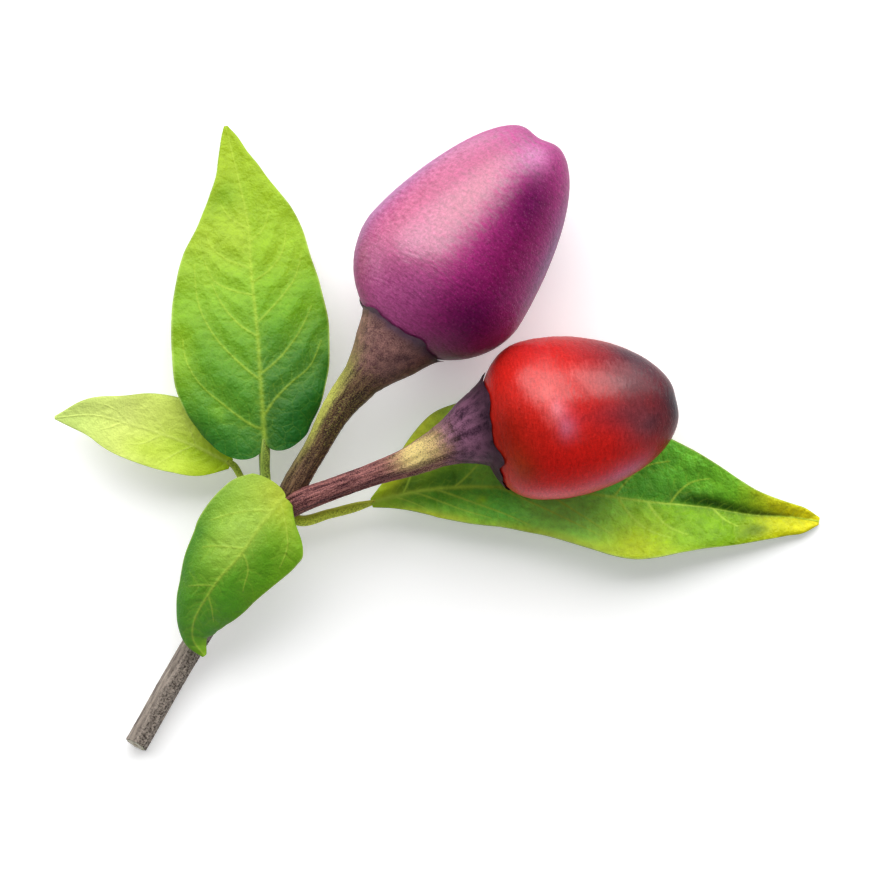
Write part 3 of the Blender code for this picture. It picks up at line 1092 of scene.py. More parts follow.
@dataclass
class Leaf:
    """Pepper leaf: a thin blade that swells between its veins.

    The midrib is a row of stations. Half-widths and rises of the margins are rows of (share of
    the length, left, right), as seen looking along the leaf. Laterals are lines of (share of the
    length, share of the half-width), and ruffles are rows of (share of the length, side, reach,
    rise).
    """

    name: str
    midrib: Stations
    widths: Stations
    rises: Stations
    finish: BladeFinish
    slot: str
    laterals: tuple[Stations, ...]
    fold: float
    quilt: float
    rows: int
    columns: int
    seed: int
    lobes: Range = (0.0, 0.0)
    corners: Range = (0.0, 0.0)
    thickness: float = 0.26
    edge_thickness: float = 0.14
    quilt_reach: float = 1.3
    net_quilt: float = 0.05
    net_quilt_reach: float = 0.35
    edge_calm: float = 0.6
    pucker: float = 0.18
    pucker_size: float = 2.4
    vein_rise: float = 0.05
    vein_drop: float = 0.06
    net_drop: float = 0.02
    net_step: float = 1.3
    net_reach: float = 2.2
    net_angles: Range = (48.0, 75.0)
    net_bends: Range = (5.0, 35.0)
    net_radius: Range = (0.07, 0.03)
    wave: float = 0.25
    wave_length: float = 6.0
    ruffles: Stations = ()
    midrib_radius: Range = (0.26, 0.08)
    lateral_radius: Range = (0.12, 0.05)
    vein_sides: int = 8
    vein_steps: int = 14
    branch_steps: int = 5
    foot_steps: int = 40
    swept_steps: int = 26
    inset: Range = (0.005, 0.985)
    rim_inset: float = 0.97
    vein_sunk: float = 0.02
    heading_span: float = 0.03
    base_fade: int = 6
    lobe_swell: float = 2.6
    length: float = field(init=False)
    breadth: float = field(init=False)

    def __post_init__(self) -> None:
        """Works out the leaf's length and greatest half-width."""
        self.length = float(run_of(self.midrib)[-1])
        self.breadth = float(max(max(row[1:]) for row in self.widths))

    @staticmethod
    def of_side(rows: Stations, along: np.ndarray, across: np.ndarray) -> np.ndarray:
        """Value of the margin on the side of each point.

        Args:
            rows: Rows of (share of the length, left, right).
            along: Shares of the length.
            across: Shares of the half-width, positive on the left.

        Returns:
            The values.
        """
        table = np.asarray(rows, float)
        left, right = (smooth(table[:, 0], table[:, i], along) for i in (1, 2))
        return np.where(across >= 0, left, right)

    def half_width(self, along: np.ndarray, across: np.ndarray) -> np.ndarray:
        """Distance from the midrib to the margin on the side of each point."""
        return self.of_side(self.widths, along, across)

    def surface(self, along: np.ndarray, across: np.ndarray) -> np.ndarray:
        """Middle surface of the blade without its veins.

        Args:
            along: Shares of the length, from the base 0 to the tip 1.
            across: Shares of the half-width, from the right margin -1 to the left margin 1.

        Returns:
            Points in millimetres.
        """
        knots = run_of(self.midrib) / self.length
        here = smooth(knots, self.midrib, along)
        span = self.heading_span
        ahead = smooth(knots, self.midrib, np.minimum(along + span, 1.0))
        behind = smooth(knots, self.midrib, np.maximum(along - span, 0.0))
        run = (ahead - behind)[..., :2]
        run = run / np.linalg.norm(run, axis=-1, keepdims=True)
        left = np.stack((-run[..., 1], run[..., 0]), axis=-1)
        out = np.abs(across)
        rise = self.of_side(self.rises, along, across)
        corner = np.where(across >= 0, *self.corners) * out**4
        lobe = np.where(across >= 0, *self.lobes) * self.lobe_swell * (1 - out) * out**0.5
        shift = (corner - lobe) * (1 - along) ** self.base_fade
        width = self.half_width(along, across) * across
        plan = here[..., :2] + left * width[..., None] + run * shift[..., None]
        height = here[..., 2] + rise * out**self.fold + self.margin_wave(along, across)
        return np.concatenate((plan, height[..., None]), axis=-1)

    def margin_wave(self, along: np.ndarray, across: np.ndarray) -> np.ndarray:
        """Small waves of the margin, and its ruffles.

        Args:
            along: Shares of the length.
            across: Shares of the half-width.

        Returns:
            Rise of each point in millimetres.
        """
        phase = 2 * math.pi * along * self.length / self.wave_length + self.seed
        ends = np.sin(math.pi * np.clip(along, 0, 1)) ** 0.5
        height = self.wave * np.abs(across) ** 4 * ends * np.sin(phase + np.sign(across) * 0.9)
        for centre, side, reach, rise in self.ruffles:
            near = np.exp(-(((along - centre) / reach) ** 2))
            height = height + rise * near * np.clip(across * side, 0, 1) ** 5
        return height

    def veins(self) -> list[Vein]:
        """Midrib and laterals."""
        midrib = Vein(((0.0, 0.0), (0.5, 0.0), (1.0, 0.0)), *self.midrib_radius)
        return [midrib] + [Vein(line, *self.lateral_radius) for line in self.laterals]

    def net(self) -> list[Vein]:
        """Fine veins that branch off the midrib and laterals by a seeded rule."""
        deal = np.random.default_rng(self.seed)
        made = []
        for vein in self.veins():
            drawn = vein.drawn(self, self.foot_steps)
            flat = self.flat(drawn[:, 0], drawn[:, 1])
            run = run_of(flat)
            ahead = np.gradient(flat, axis=0)
            headings = np.unwrap(np.arctan2(ahead[:, 1], ahead[:, 0]))
            for at in np.arange(0.6, run[-1] - 0.4, self.net_step):
                at += deal.uniform(-0.25, 0.25) * self.net_step
                foot = np.array([np.interp(at, run, column) for column in flat.T])
                for side in (1, -1):
                    heading = np.interp(at, run, headings)
                    line = self.branch(foot, heading, side, deal)
                    if len(set(line)) == len(line):
                        made.append(Vein(line, *self.net_radius))
        return made

    def branch(self, foot: np.ndarray, heading: float, side: int,
               deal: np.random.Generator) -> Stations:
        """One fine vein, bent once on its way.

        Args:
            foot: Where it leaves its own vein, in millimetres on the flattened blade.
            heading: Heading of that vein there, in radians.
            side: 1 for its left and -1 for its right.
            deal: Source of the random draws.

        Returns:
            Its line in shares of the length and half-width.
        """
        turn = heading + side * math.radians(deal.uniform(*self.net_angles))
        half = deal.uniform(0.4, 1.0) * self.net_reach * 0.5
        bow = foot + half * np.array((math.cos(turn), math.sin(turn)))
        turn -= side * math.radians(deal.uniform(*self.net_bends))
        head = bow + half * np.array((math.cos(turn), math.sin(turn)))
        return tuple(self.shares_of(point) for point in (foot, bow, head))

    def shares_of(self, point: np.ndarray) -> Range:
        """Shares of the length and half-width, kept inside the margin.

        Args:
            point: Point of the flattened blade in millimetres.

        Returns:
            The two shares.
        """
        along = float(np.clip(point[0] / self.length, *self.inset))
        wide = float(self.half_width(np.array(along), np.array(point[1])))
        share = np.clip(point[1] / max(wide, 0.1), -self.rim_inset, self.rim_inset)
        return along, float(share)

    def field_of(self, plan: np.ndarray, veins: list[Vein],
                 steps: int) -> tuple[np.ndarray, np.ndarray]:
        """How near each point of the blade is to a set of veins.

        Args:
            plan: Rows of along and across in millimetres on the flat blade.
            veins: The veins.
            steps: How many points are drawn on each.

        Returns:
            A mask that is 1 on a vein, and the distance to the nearest vein in millimetres.
        """
        mask = np.zeros(len(plan))
        nearest = np.full(len(plan), 99.0)
        for vein in veins:
            drawn = vein.drawn(self, steps)
            flat = self.flat(drawn[:, 0], drawn[:, 1])
            for start, end, width in zip(flat, flat[1:], drawn[:, 2]):
                run = end - start
                share = np.clip((plan - start) @ run / max(run @ run, TINY), 0, 1)
                away = np.linalg.norm(plan - start - share[:, None] * run, axis=1)
                nearest = np.minimum(nearest, away)
                mask = np.maximum(mask, vein.strength * np.exp(-((away / (width * 1.1)) ** 2)))
        return mask, nearest

    def flat(self, along: np.ndarray, across: np.ndarray) -> np.ndarray:
        """Shares turned to millimetres on the flattened blade."""
        return np.stack((along * self.length, across * self.half_width(along, across)), axis=-1)

    def build(self) -> None:
        """Makes the blade and the veins under it, and dresses them."""
        along, across = np.meshgrid(np.linspace(0, 1, self.rows),
                                    np.linspace(-1, 1, self.columns), indexing="ij")
        middle = self.surface(along, across)
        upward = surface_normals(middle)
        plan = self.flat(along, across).reshape(-1, 2)
        fields = (*self.field_of(plan, self.veins(), self.vein_steps),
                  *self.field_of(plan, self.net(), self.branch_steps))
        vein, nearest, net, net_away = (values.reshape(along.shape) for values in fields)
        out = np.abs(across)
        bulge = 1 - np.exp(-((nearest / self.quilt_reach) ** 2))
        quilt = self.quilt * bulge
        quilt += self.net_quilt * (1 - np.exp(-((net_away / self.net_quilt_reach) ** 2)))
        quilt += self.pucker * bulge * rough_field(middle, self.pucker_size, self.seed)
        quilt *= 1 - out**6 * self.edge_calm
        half = (self.thickness + (self.edge_thickness - self.thickness) * out**8) / 2
        top = middle + upward * (quilt + half + self.vein_rise * vein)[..., None]
        drop = half + self.vein_drop * vein + self.net_drop * net
        below = middle + upward * (quilt - drop)[..., None]
        points = np.concatenate((top.reshape(-1, 3), below.reshape(-1, 3)))
        twice = {Mark.ALONG: along, Mark.ACROSS: across, Mark.VEIN: vein, Mark.NET: net,
                 Mark.BULGE: bulge}
        marks = {mark: np.tile(values.ravel(), 2) for mark, values in twice.items()}
        marks[Mark.UNDER] = np.repeat((0.0, 1.0), along.size)
        material = self.finish.build()
        blade = add_mesh(f"{self.name}_blade", points, self.faces(), marks, material)
        dress(blade, self.slot, self.name)
        self.build_veins(material)

    def faces(self) -> list[list[int]]:
        """Faces of the top, of the underside and of the margin between them."""
        rows, columns = self.rows, self.columns
        count = rows * columns
        numbers = np.arange(count).reshape(rows, columns)
        loop = np.concatenate((numbers[0], numbers[1:, -1], numbers[-1, -2::-1],
                               numbers[-2:0:-1, 0]))
        after = np.roll(loop, -1)
        top = grid_faces(rows, columns, False)
        below = grid_faces(rows, columns, False, count)[:, ::-1]
        margin = np.stack((loop, after, after + count, loop + count), axis=-1)
        return np.concatenate((top, below, margin)).tolist()

    def build_veins(self, material: bpy.types.Material) -> None:
        """Raised veins on the underside, swept along their lines.

        Args:
            material: The blade's finish.
        """
        lines = []
        step = 0.004
        for vein in self.veins():
            drawn = vein.drawn(self, self.swept_steps)
            inside = np.clip(drawn[:, 0], step, 0.985)
            centre = self.surface(inside, drawn[:, 1])
            ahead = self.surface(inside + step, drawn[:, 1]) - centre
            aside = self.surface(inside, drawn[:, 1] + step * 4) - centre
            upward = np.cross(ahead, aside)
            upward /= np.linalg.norm(upward, axis=1, keepdims=True)
            centre = centre - upward * (self.thickness / 2 + self.vein_sunk)
            lines.append(np.column_stack((centre, drawn[:, 2])))
        values = {"Sides": self.vein_sides, "Ribs": 1, "Rib Depth": 0.0, "Grain Depth": 0.0,
                  "Material": material}
        piece = SWEEP.make(f"{self.name}_veins", poly_curve("vein_lines", lines), values)
        dress(piece, self.slot)


# ---- Limbs swept by Geometry Nodes ----


GRAIN_SCALE = 0.9 / MM
SMALLEST_WART = 0.5
LARGEST_WART = 1.3
WART_LENGTH = 1.5
WART_HEIGHT = 0.45


def sweep_tree() -> GeometryTree:
    """Tree that sweeps a ribbed, grained round limb along each spline, with its radii."""
    tree = GeometryTree("sweep", {
        "Sides": "NodeSocketInt", "Ribs": "NodeSocketInt", "Rib Depth": "NodeSocketFloat",
        "Grain Depth": "NodeSocketFloat", "Material": "NodeSocketMaterial"})
    length = tree.value("GeometryNodeSplineParameter", output="Length")
    rail = tree.store(tree.given("Geometry"), Mark.ALONG, length)
    circle = tree.node("GeometryNodeCurvePrimitiveCircle", {"mode": "RADIUS"},
                       {"Resolution": tree.given("Sides"), "Radius": 1.0})
    turn = tree.value("GeometryNodeSplineParameter")
    profile = tree.store(circle, Mark.ACROSS, turn * (2 * math.pi))
    radius = tree.node("GeometryNodeInputRadius")
    inputs = {"Curve": rail, "Profile Curve": profile, "Scale": radius, "Fill Caps": True}
    swept = tree.node("GeometryNodeCurveToMesh", None, inputs)
    angle, run = tree.stored(Mark.ACROSS), tree.stored(Mark.ALONG)
    place = tree.value("GeometryNodeInputPosition")
    ribs = (angle * tree.given("Ribs")).cosine() * tree.given("Rib Depth")
    grain = (tree.noise(place, GRAIN_SCALE, 3.0, 0.6) - 0.5) * tree.given("Grain Depth")
    normal = tree.node("GeometryNodeInputNormal")
    offset = tree.node("ShaderNodeVectorMath", {"operation": "SCALE"},
                       {0: normal, "Scale": ribs + grain})
    shaped = tree.node("GeometryNodeSetPosition", None, {"Geometry": swept, "Offset": offset})
    ring = tree.value("ShaderNodeCombineXYZ", None,
                      {0: angle.cosine(), 1: angle.sine(), 2: run / MM})
    marked = tree.store(shaped, Mark.RING, ring, "FLOAT_VECTOR")
    smoothed = tree.node("GeometryNodeSetShadeSmooth", None, {"Geometry": marked})
    tree.end(smoothed)
    return tree


def scatter_tree(seed: int) -> GeometryTree:
    """Tree that strews small oval warts over a mesh.

    Args:
        seed: Seed of their places and sizes.

    Returns:
        The tree.
    """
    tree = GeometryTree("scatter", {
        "Density": "NodeSocketFloat", "Size": "NodeSocketFloat",
        "Material": "NodeSocketMaterial"})
    inputs = {"Mesh": tree.given("Geometry"), "Density": tree.given("Density"), "Seed": seed}
    points = tree.node("GeometryNodeDistributePointsOnFaces", None, inputs)
    wart = tree.node("GeometryNodeMeshIcoSphere", None, {"Radius": 1.0, "Subdivisions": 2})
    share = tree.value("FunctionNodeRandomValue", None, {"Seed": seed}, "Value")
    size = (share * (LARGEST_WART - SMALLEST_WART) + SMALLEST_WART) * tree.given("Size")
    inputs = {0: size, 1: size * WART_LENGTH, 2: size * WART_HEIGHT}
    scale = tree.node("ShaderNodeCombineXYZ", None, inputs)
    inputs = {"Points": points, "Instance": wart, "Rotation": points.outputs["Rotation"],
              "Scale": scale}
    strewn = tree.node("GeometryNodeInstanceOnPoints", None, inputs)
    smoothed = tree.node("GeometryNodeSetShadeSmooth", None, {"Geometry": strewn})
    tree.end(smoothed)
    return tree


@dataclass
class Limb:
    """Round limb swept along stations of x, y, z and radius."""

    name: str
    stations: Stations
    finish: BarkFinish
    slot: str
    sides: int = 48
    ribs: int = 3
    rib_depth: float = 0.05
    grain_depth: float = 0.03
    step: float = 0.16

    def drawn(self) -> np.ndarray:
        """Smooth row of stations, a step apart."""
        stations = np.asarray(self.stations, float)
        knots = run_of(stations[:, :3])
        count = int(knots[-1] / self.step) + 2
        return smooth(knots, stations, np.linspace(0, knots[-1], count))

    def build(self) -> None:
        """Makes the limb and dresses it."""
        dress(self.swept(self.finish.build()), self.slot, self.name)

    def swept(self, material: bpy.types.Material) -> bpy.types.Object:
        """Sweeps the limb along its stations.

        Args:
            material: The finish.

        Returns:
            The limb, not yet dressed.
        """
        values = {"Sides": self.sides, "Ribs": self.ribs, "Rib Depth": self.rib_depth * MM,
                  "Grain Depth": self.grain_depth * MM, "Material": material}
        curve = poly_curve(f"{self.name}_line", [self.drawn()])
        return SWEEP.make(f"{self.name}_limb", curve, values)


@dataclass
class Stem(Limb):
    """Woody stem, cut off at a slant at its foot, with warts on its bark."""

    cut_tilt: float = 15.0
    cut_longer: float = 2.0
    cut_finish: CutFinish = CutFinish("cut_wood")
    face_sides: int = 96
    face_rings: int = 23
    face_lift: float = 0.03
    face_droop: float = 0.05
    ray_count: int = 23
    ray_height: float = 0.02
    root_depth: float = 0.3
    wart_density: float = 3.6e6
    wart_size: float = 0.075

    def cut_plane(self) -> tuple[np.ndarray, np.ndarray]:
        """Middle of the cut in millimetres, and the way that it faces."""
        foot, above = (np.asarray(s[:3], float) for s in self.stations[:2])
        level = (foot - above) * (1, 1, 0)
        level /= np.linalg.norm(level)
        tilt = math.radians(self.cut_tilt)
        return foot, level * math.cos(tilt) + np.array((0, 0, math.sin(tilt)))

    def drawn(self) -> np.ndarray:
        """Smooth row of stations, carried on past the cut."""
        rows = super().drawn()
        back = rows[0, :3] - rows[1, :3]
        back *= self.cut_longer / np.linalg.norm(back)
        extra = np.linspace(1, 0, 14)[:-1, None] * np.append(back, 0.0)
        return np.vstack((rows[0] + extra, rows))

    def build(self) -> None:
        """Makes the stem, its warts and its cut face, and dresses them."""
        bark = self.finish.build()
        piece = self.swept(bark)
        self.cut(piece)
        values = {"Density": self.wart_density, "Size": self.wart_size * MM, "Material": bark}
        warts = SCATTER.make(f"{self.name}_warts", piece.data.copy(), values)
        dress(piece, self.slot, self.name)
        dress(warts, self.slot)
        self.build_cut_face(piece)

    def cut(self, piece: bpy.types.Object) -> None:
        """Cuts the foot off along the slanted plane and closes it.

        Args:
            piece: The swept stem.
        """
        point, facing = self.cut_plane()
        work = bmesh.new()
        work.from_mesh(piece.data)
        everything = work.verts[:] + work.edges[:] + work.faces[:]
        bmesh.ops.bisect_plane(work, geom=everything, plane_co=Vector(point * MM),
                               plane_no=Vector(facing), clear_outer=True)
        open_edges = [edge for edge in work.edges if edge.is_boundary]
        bmesh.ops.holes_fill(work, edges=open_edges)
        work.to_mesh(piece.data)
        work.free()
        piece.data.set_sharp_from_angle(angle=math.radians(60))

    def build_cut_face(self, piece: bpy.types.Object) -> None:
        """Lays a finely grained disc on the cut, as wide as the bark.

        Args:
            piece: The stem with its foot cut off.
        """
        point, facing = self.cut_plane()
        corners = np.array([v.co for v in piece.data.vertices]) / MM
        on_cut = corners[np.abs((corners - point) @ facing) < 0.005] - point
        across = np.cross(facing, (0, 0, 1))
        across /= np.linalg.norm(across)
        upward = np.cross(across, facing)
        angles = np.arctan2(on_cut @ upward, on_cut @ across)
        order = np.argsort(angles)
        reach = np.linalg.norm(on_cut, axis=1)[order]
        rings, sides = self.face_rings, self.face_sides
        turns = np.linspace(-math.pi, math.pi, sides, endpoint=False)
        cosine, sine = np.cos(turns), np.sin(turns)
        edge = np.interp(turns, angles[order], reach, period=2 * math.pi)
        shares = np.linspace(0, 1, rings + 1)[1:, None]
        grain = self.ray_height * np.cos(turns * self.ray_count) * np.sin(math.pi * shares)
        lift = self.face_lift + grain - self.face_droop * shares**8
        spoke = cosine[:, None] * across + sine[:, None] * upward
        disc = point + (shares * edge)[..., None] * spoke + lift[..., None] * facing
        middles = (point + self.ray_height * facing, point - self.root_depth * facing)
        points = np.vstack((disc.reshape(-1, 3), *middles))
        out = np.append(np.repeat(shares, sides), (0.0, 1.0))
        ring = np.tile(np.column_stack((cosine, sine, 0 * sine)), (rings, 1))
        marks = {Mark.ALONG: out, Mark.RING: np.vstack((ring, np.zeros((2, 3))))}
        face = add_mesh(f"{self.name}_cut_face", points, stack_faces(rings, sides), marks,
                        self.cut_finish.build())
        dress(face, self.slot)


# ---- Fruits and their stalks ----


@dataclass
class Fruit:
    """Egg-shaped pepper, turned about an axis from its foot to its tip."""

    name: str
    base: Point
    heading: float
    pitch: float
    radius: float
    widest: float
    back: float
    front: float
    back_power: float
    front_power: float
    roundness: float
    dent: float
    finish: SkinFinish
    slot: str
    sides: int = 230
    rings: int = 380
    tip_lobes: int = 3
    tip_lobe_height: float = 0.03
    tip_fade: int = 4
    groove_offset: float = 0.8
    groove_width: float = 1.6
    swell: float = 0.10
    swell_size: float = 0.55
    dimple: float = 0.02
    dimple_size: float = 0.12
    tick: float = 0.022
    tick_size: Range = (0.9, 0.34)
    seed: float = 3.0

    def place(self) -> Matrix:
        """Place of the fruit's foot."""
        return placed_along(self.base, self.heading, self.pitch)

    def radius_at(self, along: np.ndarray) -> np.ndarray:
        """Radius of the skin along the axis.

        Args:
            along: Distances from the fruit's foot.

        Returns:
            The radius at each, 0 past the ends.
        """
        ahead = np.asarray(along, float) - self.widest
        behind = 1 - np.clip(-ahead / self.back, 0, 1) ** self.back_power
        beyond = 1 - np.clip(ahead / self.front, 0, 1) ** self.front_power
        return self.radius * np.where(ahead < 0, behind**0.5, beyond ** (1 / self.roundness))

    def foot_at(self, radius: np.ndarray) -> np.ndarray:
        """Distance along the axis at which the skin behind the widest place has a radius."""
        share = np.clip(1 - (radius / self.radius) ** 2, 0, 1)
        return self.widest - self.back * share ** (1 / self.back_power)

    def skin(self, unit: np.ndarray) -> np.ndarray:
        """Points of the skin.

        Args:
            unit: Points of the unit ball, x, y and z along the last axis.

        Returns:
            The skin's point for each, in the fruit's own frame.
        """
        reach = np.where(unit[..., 2] > 0, self.front, self.back)
        along = self.widest + reach * unit[..., 2]
        radius = self.radius_at(along)
        around = np.arctan2(unit[..., 1], unit[..., 0])
        tip = np.clip(unit[..., 2], 0, 1) ** self.tip_fade
        radius = radius * (1 + self.tip_lobe_height * tip * np.cos(self.tip_lobes * around))
        off_groove = (radius * np.cos(around) + self.groove_offset) / self.groove_width
        along = along - self.dent * tip * np.exp(-(off_groove**2))
        swelling = self.swell * rough_field(unit, self.swell_size, self.seed)
        swelling += self.dimple * rough_field(unit, self.dimple_size, self.seed + 9)
        radius = radius * (1 + swelling / self.radius)
        skin = np.stack((radius * np.cos(around), radius * np.sin(around), along), axis=-1)
        broad, fine = self.tick_size
        ticks = self.tick * rough_field(skin / (broad, broad, fine), 1.0, self.seed + 4)
        skin[..., :2] *= (1 + ticks / self.radius)[..., None]
        return skin

    def build(self) -> None:
        """Makes the fruit and dresses it."""
        lift = np.linspace(-math.pi / 2, math.pi / 2, self.rings)[1:-1, None]
        cosine, sine = circle_of(self.sides)
        unit = np.stack((np.cos(lift) * cosine, np.cos(lift) * sine,
                         np.sin(lift) + 0 * sine), axis=-1)
        skin = self.skin(unit)
        poles = np.array(((0, 0, self.widest - self.back), (0, 0, skin[-1, :, 2].mean())))
        points = moved(self.place(), np.vstack((skin.reshape(-1, 3), poles)))
        ball = np.vstack((unit.reshape(-1, 3), ((0, 0, -1), (0, 0, 1))))
        piece = add_mesh(f"{self.name}_skin", points, stack_faces(len(lift), self.sides),
                         {Mark.BALL: ball}, self.finish.build(), 180.0)
        dress(piece, self.slot, self.name)


@dataclass
class FruitStalk:
    """Stalk of a fruit that flares into its calyx, a cup round the fruit's foot.

    The cup's outer profile is a row of (distance behind the rim, radius).
    """

    kind: str
    stations: Stations
    rim: Point
    heading: float
    pitch: float
    skew: float
    first_tooth: float
    fruit: Fruit
    finish: StalkFinish
    profile: Stations = ((-7.0, 2.3), (-4.8, 2.95), (-2.8, 3.9), (-1.4, 4.8), (-0.5, 5.4),
                         (0.0, 5.55))
    wall: float = 0.30
    clearance: float = 0.10
    teeth: int = 5
    tooth_length: float = 0.6
    tooth_depth: float = 1.2
    tooth_spread: float = 0.8
    ragged: float = 0.35
    ragged_size: float = 0.22
    cling: float = 0.9
    cling_reach: float = 3.0
    push_reach: float = 2.2
    cup_ribs: float = 0.02
    fine_ribs: float = 0.005
    ridges: float = 0.055
    grain: float = 0.035
    grain_size: float = 0.5
    sides: int = 120
    step: float = 0.14
    inner_depth: float = 4.5
    outer_rings: int = 76
    inner_rings: int = 34
    neck_fade: int = 14
    end_fade: int = 5
    seed: float = 5.0

    def place(self) -> Matrix:
        """Place of the middle of the cup's rim."""
        return placed_along(self.rim, self.heading, self.pitch)

    def cup_rings(self, depths: np.ndarray, inward: float) -> np.ndarray:
        """Rings of the cup.

        Args:
            depths: Distances behind the rim.
            inward: How far inside the outer skin they lie.

        Returns:
            Rings of points in the sprig's frame.
        """
        table = np.asarray(self.profile, float)
        turn = np.linspace(0, 2 * math.pi, self.sides, endpoint=False)[None, :]
        depth = depths[:, None]
        front = np.clip(1 + depth / table[0, 0], 0, 1) ** 2
        radius = smooth(table[:, 0], table[:, 1], -depth) - inward
        ribs = np.cos(self.teeth * (turn - math.radians(self.first_tooth)))
        fine = np.cos(self.teeth * 4 * turn + 1.3)
        radius = radius * (1 + (self.cup_ribs * ribs + self.fine_ribs * fine) * front)
        edge = np.clip(1 - depth / self.tooth_depth, 0, 1) ** 2
        around = np.stack((np.cos(turn), np.sin(turn), turn * 0), axis=-1)
        uneven = self.ragged * rough_field(around, self.ragged_size, self.seed)
        tooth = edge * (np.clip(ribs, 0, 1) ** 2 * self.tooth_length + uneven)
        radius = radius + tooth * self.tooth_spread
        x, y = radius * np.cos(turn), radius * np.sin(turn)
        z = -depth + front * math.tan(math.radians(self.skew)) * x + tooth
        points = moved(self.place(), np.stack((x, y, z), axis=-1))
        return self.held_off(points, depth, inward)

    def held_off(self, points: np.ndarray, depth: np.ndarray, inward: float) -> np.ndarray:
        """Keeps the cup just outside the fruit near its rim, and the rim close to it.

        Args:
            points: Rings of the cup.
            depth: Distance of each ring behind the rim.
            inward: How far inside the outer skin they lie.

        Returns:
            The rings, moved.
        """
        seat = self.fruit.place()
        seated = moved(seat.inverted(), points)
        away = np.hypot(seated[..., 0], seated[..., 1])
        gap = self.fruit.foot_at(away) - seated[..., 2] - self.clearance - inward
        share = self.cling * np.clip(1 - depth / self.cling_reach, 0, 1) ** 1.5
        seated[..., 2] += np.clip(gap, 0, 2) * share
        least = self.fruit.radius_at(seated[..., 2]) + self.clearance + self.wall - inward
        pushed = (away < least) & (depth < self.push_reach)
        grow = np.where(pushed, least / np.maximum(away, TINY), 1.0)
        seated[..., :2] *= grow[..., None]
        return moved(seat, seated)

    def stalk_rings(self, joint: np.ndarray) -> tuple[np.ndarray, np.ndarray]:
        """Rings of the stalk up to the neck.

        Args:
            joint: Middle of the neck in the sprig's frame.

        Returns:
            The rings, and each ring's distance from the neck, below 0.
        """
        radius = self.profile[0][1]
        stations = np.vstack((np.asarray(self.stations, float), (*joint, radius)))
        knots = run_of(stations[:, :3])
        count = int(knots[-1] / self.step) + 2
        rows = smooth(knots, stations, np.linspace(0, knots[-1], count))
        place = np.array(self.place())
        u = place[:3, 0]
        rings = np.zeros((count, self.sides, 3))
        turn = np.linspace(0, 2 * math.pi, self.sides, endpoint=False)
        ahead = np.gradient(rows[:, :3], axis=0)
        ahead[-1] = place[:3, 2]
        for i in range(count - 1, -1, -1):
            axis = ahead[i] / np.linalg.norm(ahead[i])
            u = u - axis * (u @ axis)
            u /= np.linalg.norm(u)
            v = np.cross(axis, u)
            ridged = (0.6 * np.cos(5 * turn + 0.6) + np.cos(9 * turn + 2.0 + 0.02 * i)
                      + 0.6 * np.cos(14 * turn))
            ridged *= self.ridges * min(1.0, (count - 1 - i) / self.neck_fade)
            spoke = np.cos(turn)[:, None] * u + np.sin(turn)[:, None] * v
            rings[i] = rows[i, :3] + (rows[i, 3] + ridged)[:, None] * spoke
        return rings, np.linspace(-knots[-1], 0, count)

    def build(self) -> None:
        """Makes the stalk and the calyx, which meet ring to ring, and dresses them."""
        neck = -self.profile[0][0]
        outer = self.cup_rings(np.linspace(neck, 0, self.outer_rings), 0.0)
        stalk, run = self.stalk_rings(outer[0].mean(axis=0))
        outer[0] = stalk[-1]
        inner = self.cup_rings(np.linspace(0, self.inner_depth, self.inner_rings), self.wall)
        cup_run = np.concatenate((np.linspace(0, neck, len(outer)),
                                  np.linspace(neck, neck + 1, len(inner))))
        material = self.finish.build()
        self.close(f"{self.kind}_pedicel", f"{self.kind}_stalk", stalk, run, material)
        self.close(f"{self.kind}_calyx", f"{self.kind}_calyx", np.concatenate((outer, inner)),
                   cup_run, material)

    def close(self, node: str, slot: str, rings: np.ndarray, run: np.ndarray,
              material: bpy.types.Material) -> None:
        """Adds the mesh of a stack of rings, with relief and closed ends, and dresses it.

        Args:
            node: Imported part that it stands for.
            slot: Name of its material slot, which is only logged.
            rings: The rings.
            run: Distance of each along the stalk from the neck.
            material: The finish.
        """
        normals = surface_normals(rings, wrapped=True)
        grain = self.grain * rough_field(rings, self.grain_size, self.seed)
        place = np.arange(len(rings))
        fade = np.clip(np.minimum(place, place[::-1]) / self.end_fade, 0, 1)
        rings = rings - normals * (grain * fade[:, None])[..., None]
        points = np.vstack((rings.reshape(-1, 3), rings[0].mean(axis=0), rings[-1].mean(axis=0)))
        cosine, sine = circle_of(self.sides)
        level = run[:, None]
        ring = np.stack((cosine + 0 * level, sine + 0 * level, level + 0 * sine), axis=-1)
        ends = ((0, 0, run[0]), (0, 0, run[-1]))
        marks = {Mark.RING: np.vstack((ring.reshape(-1, 3), ends))}
        faces = stack_faces(len(rings), self.sides)
        dress(add_mesh(f"{node}_skin", points, faces, marks, material), slot, node)


# ---- Studio ----


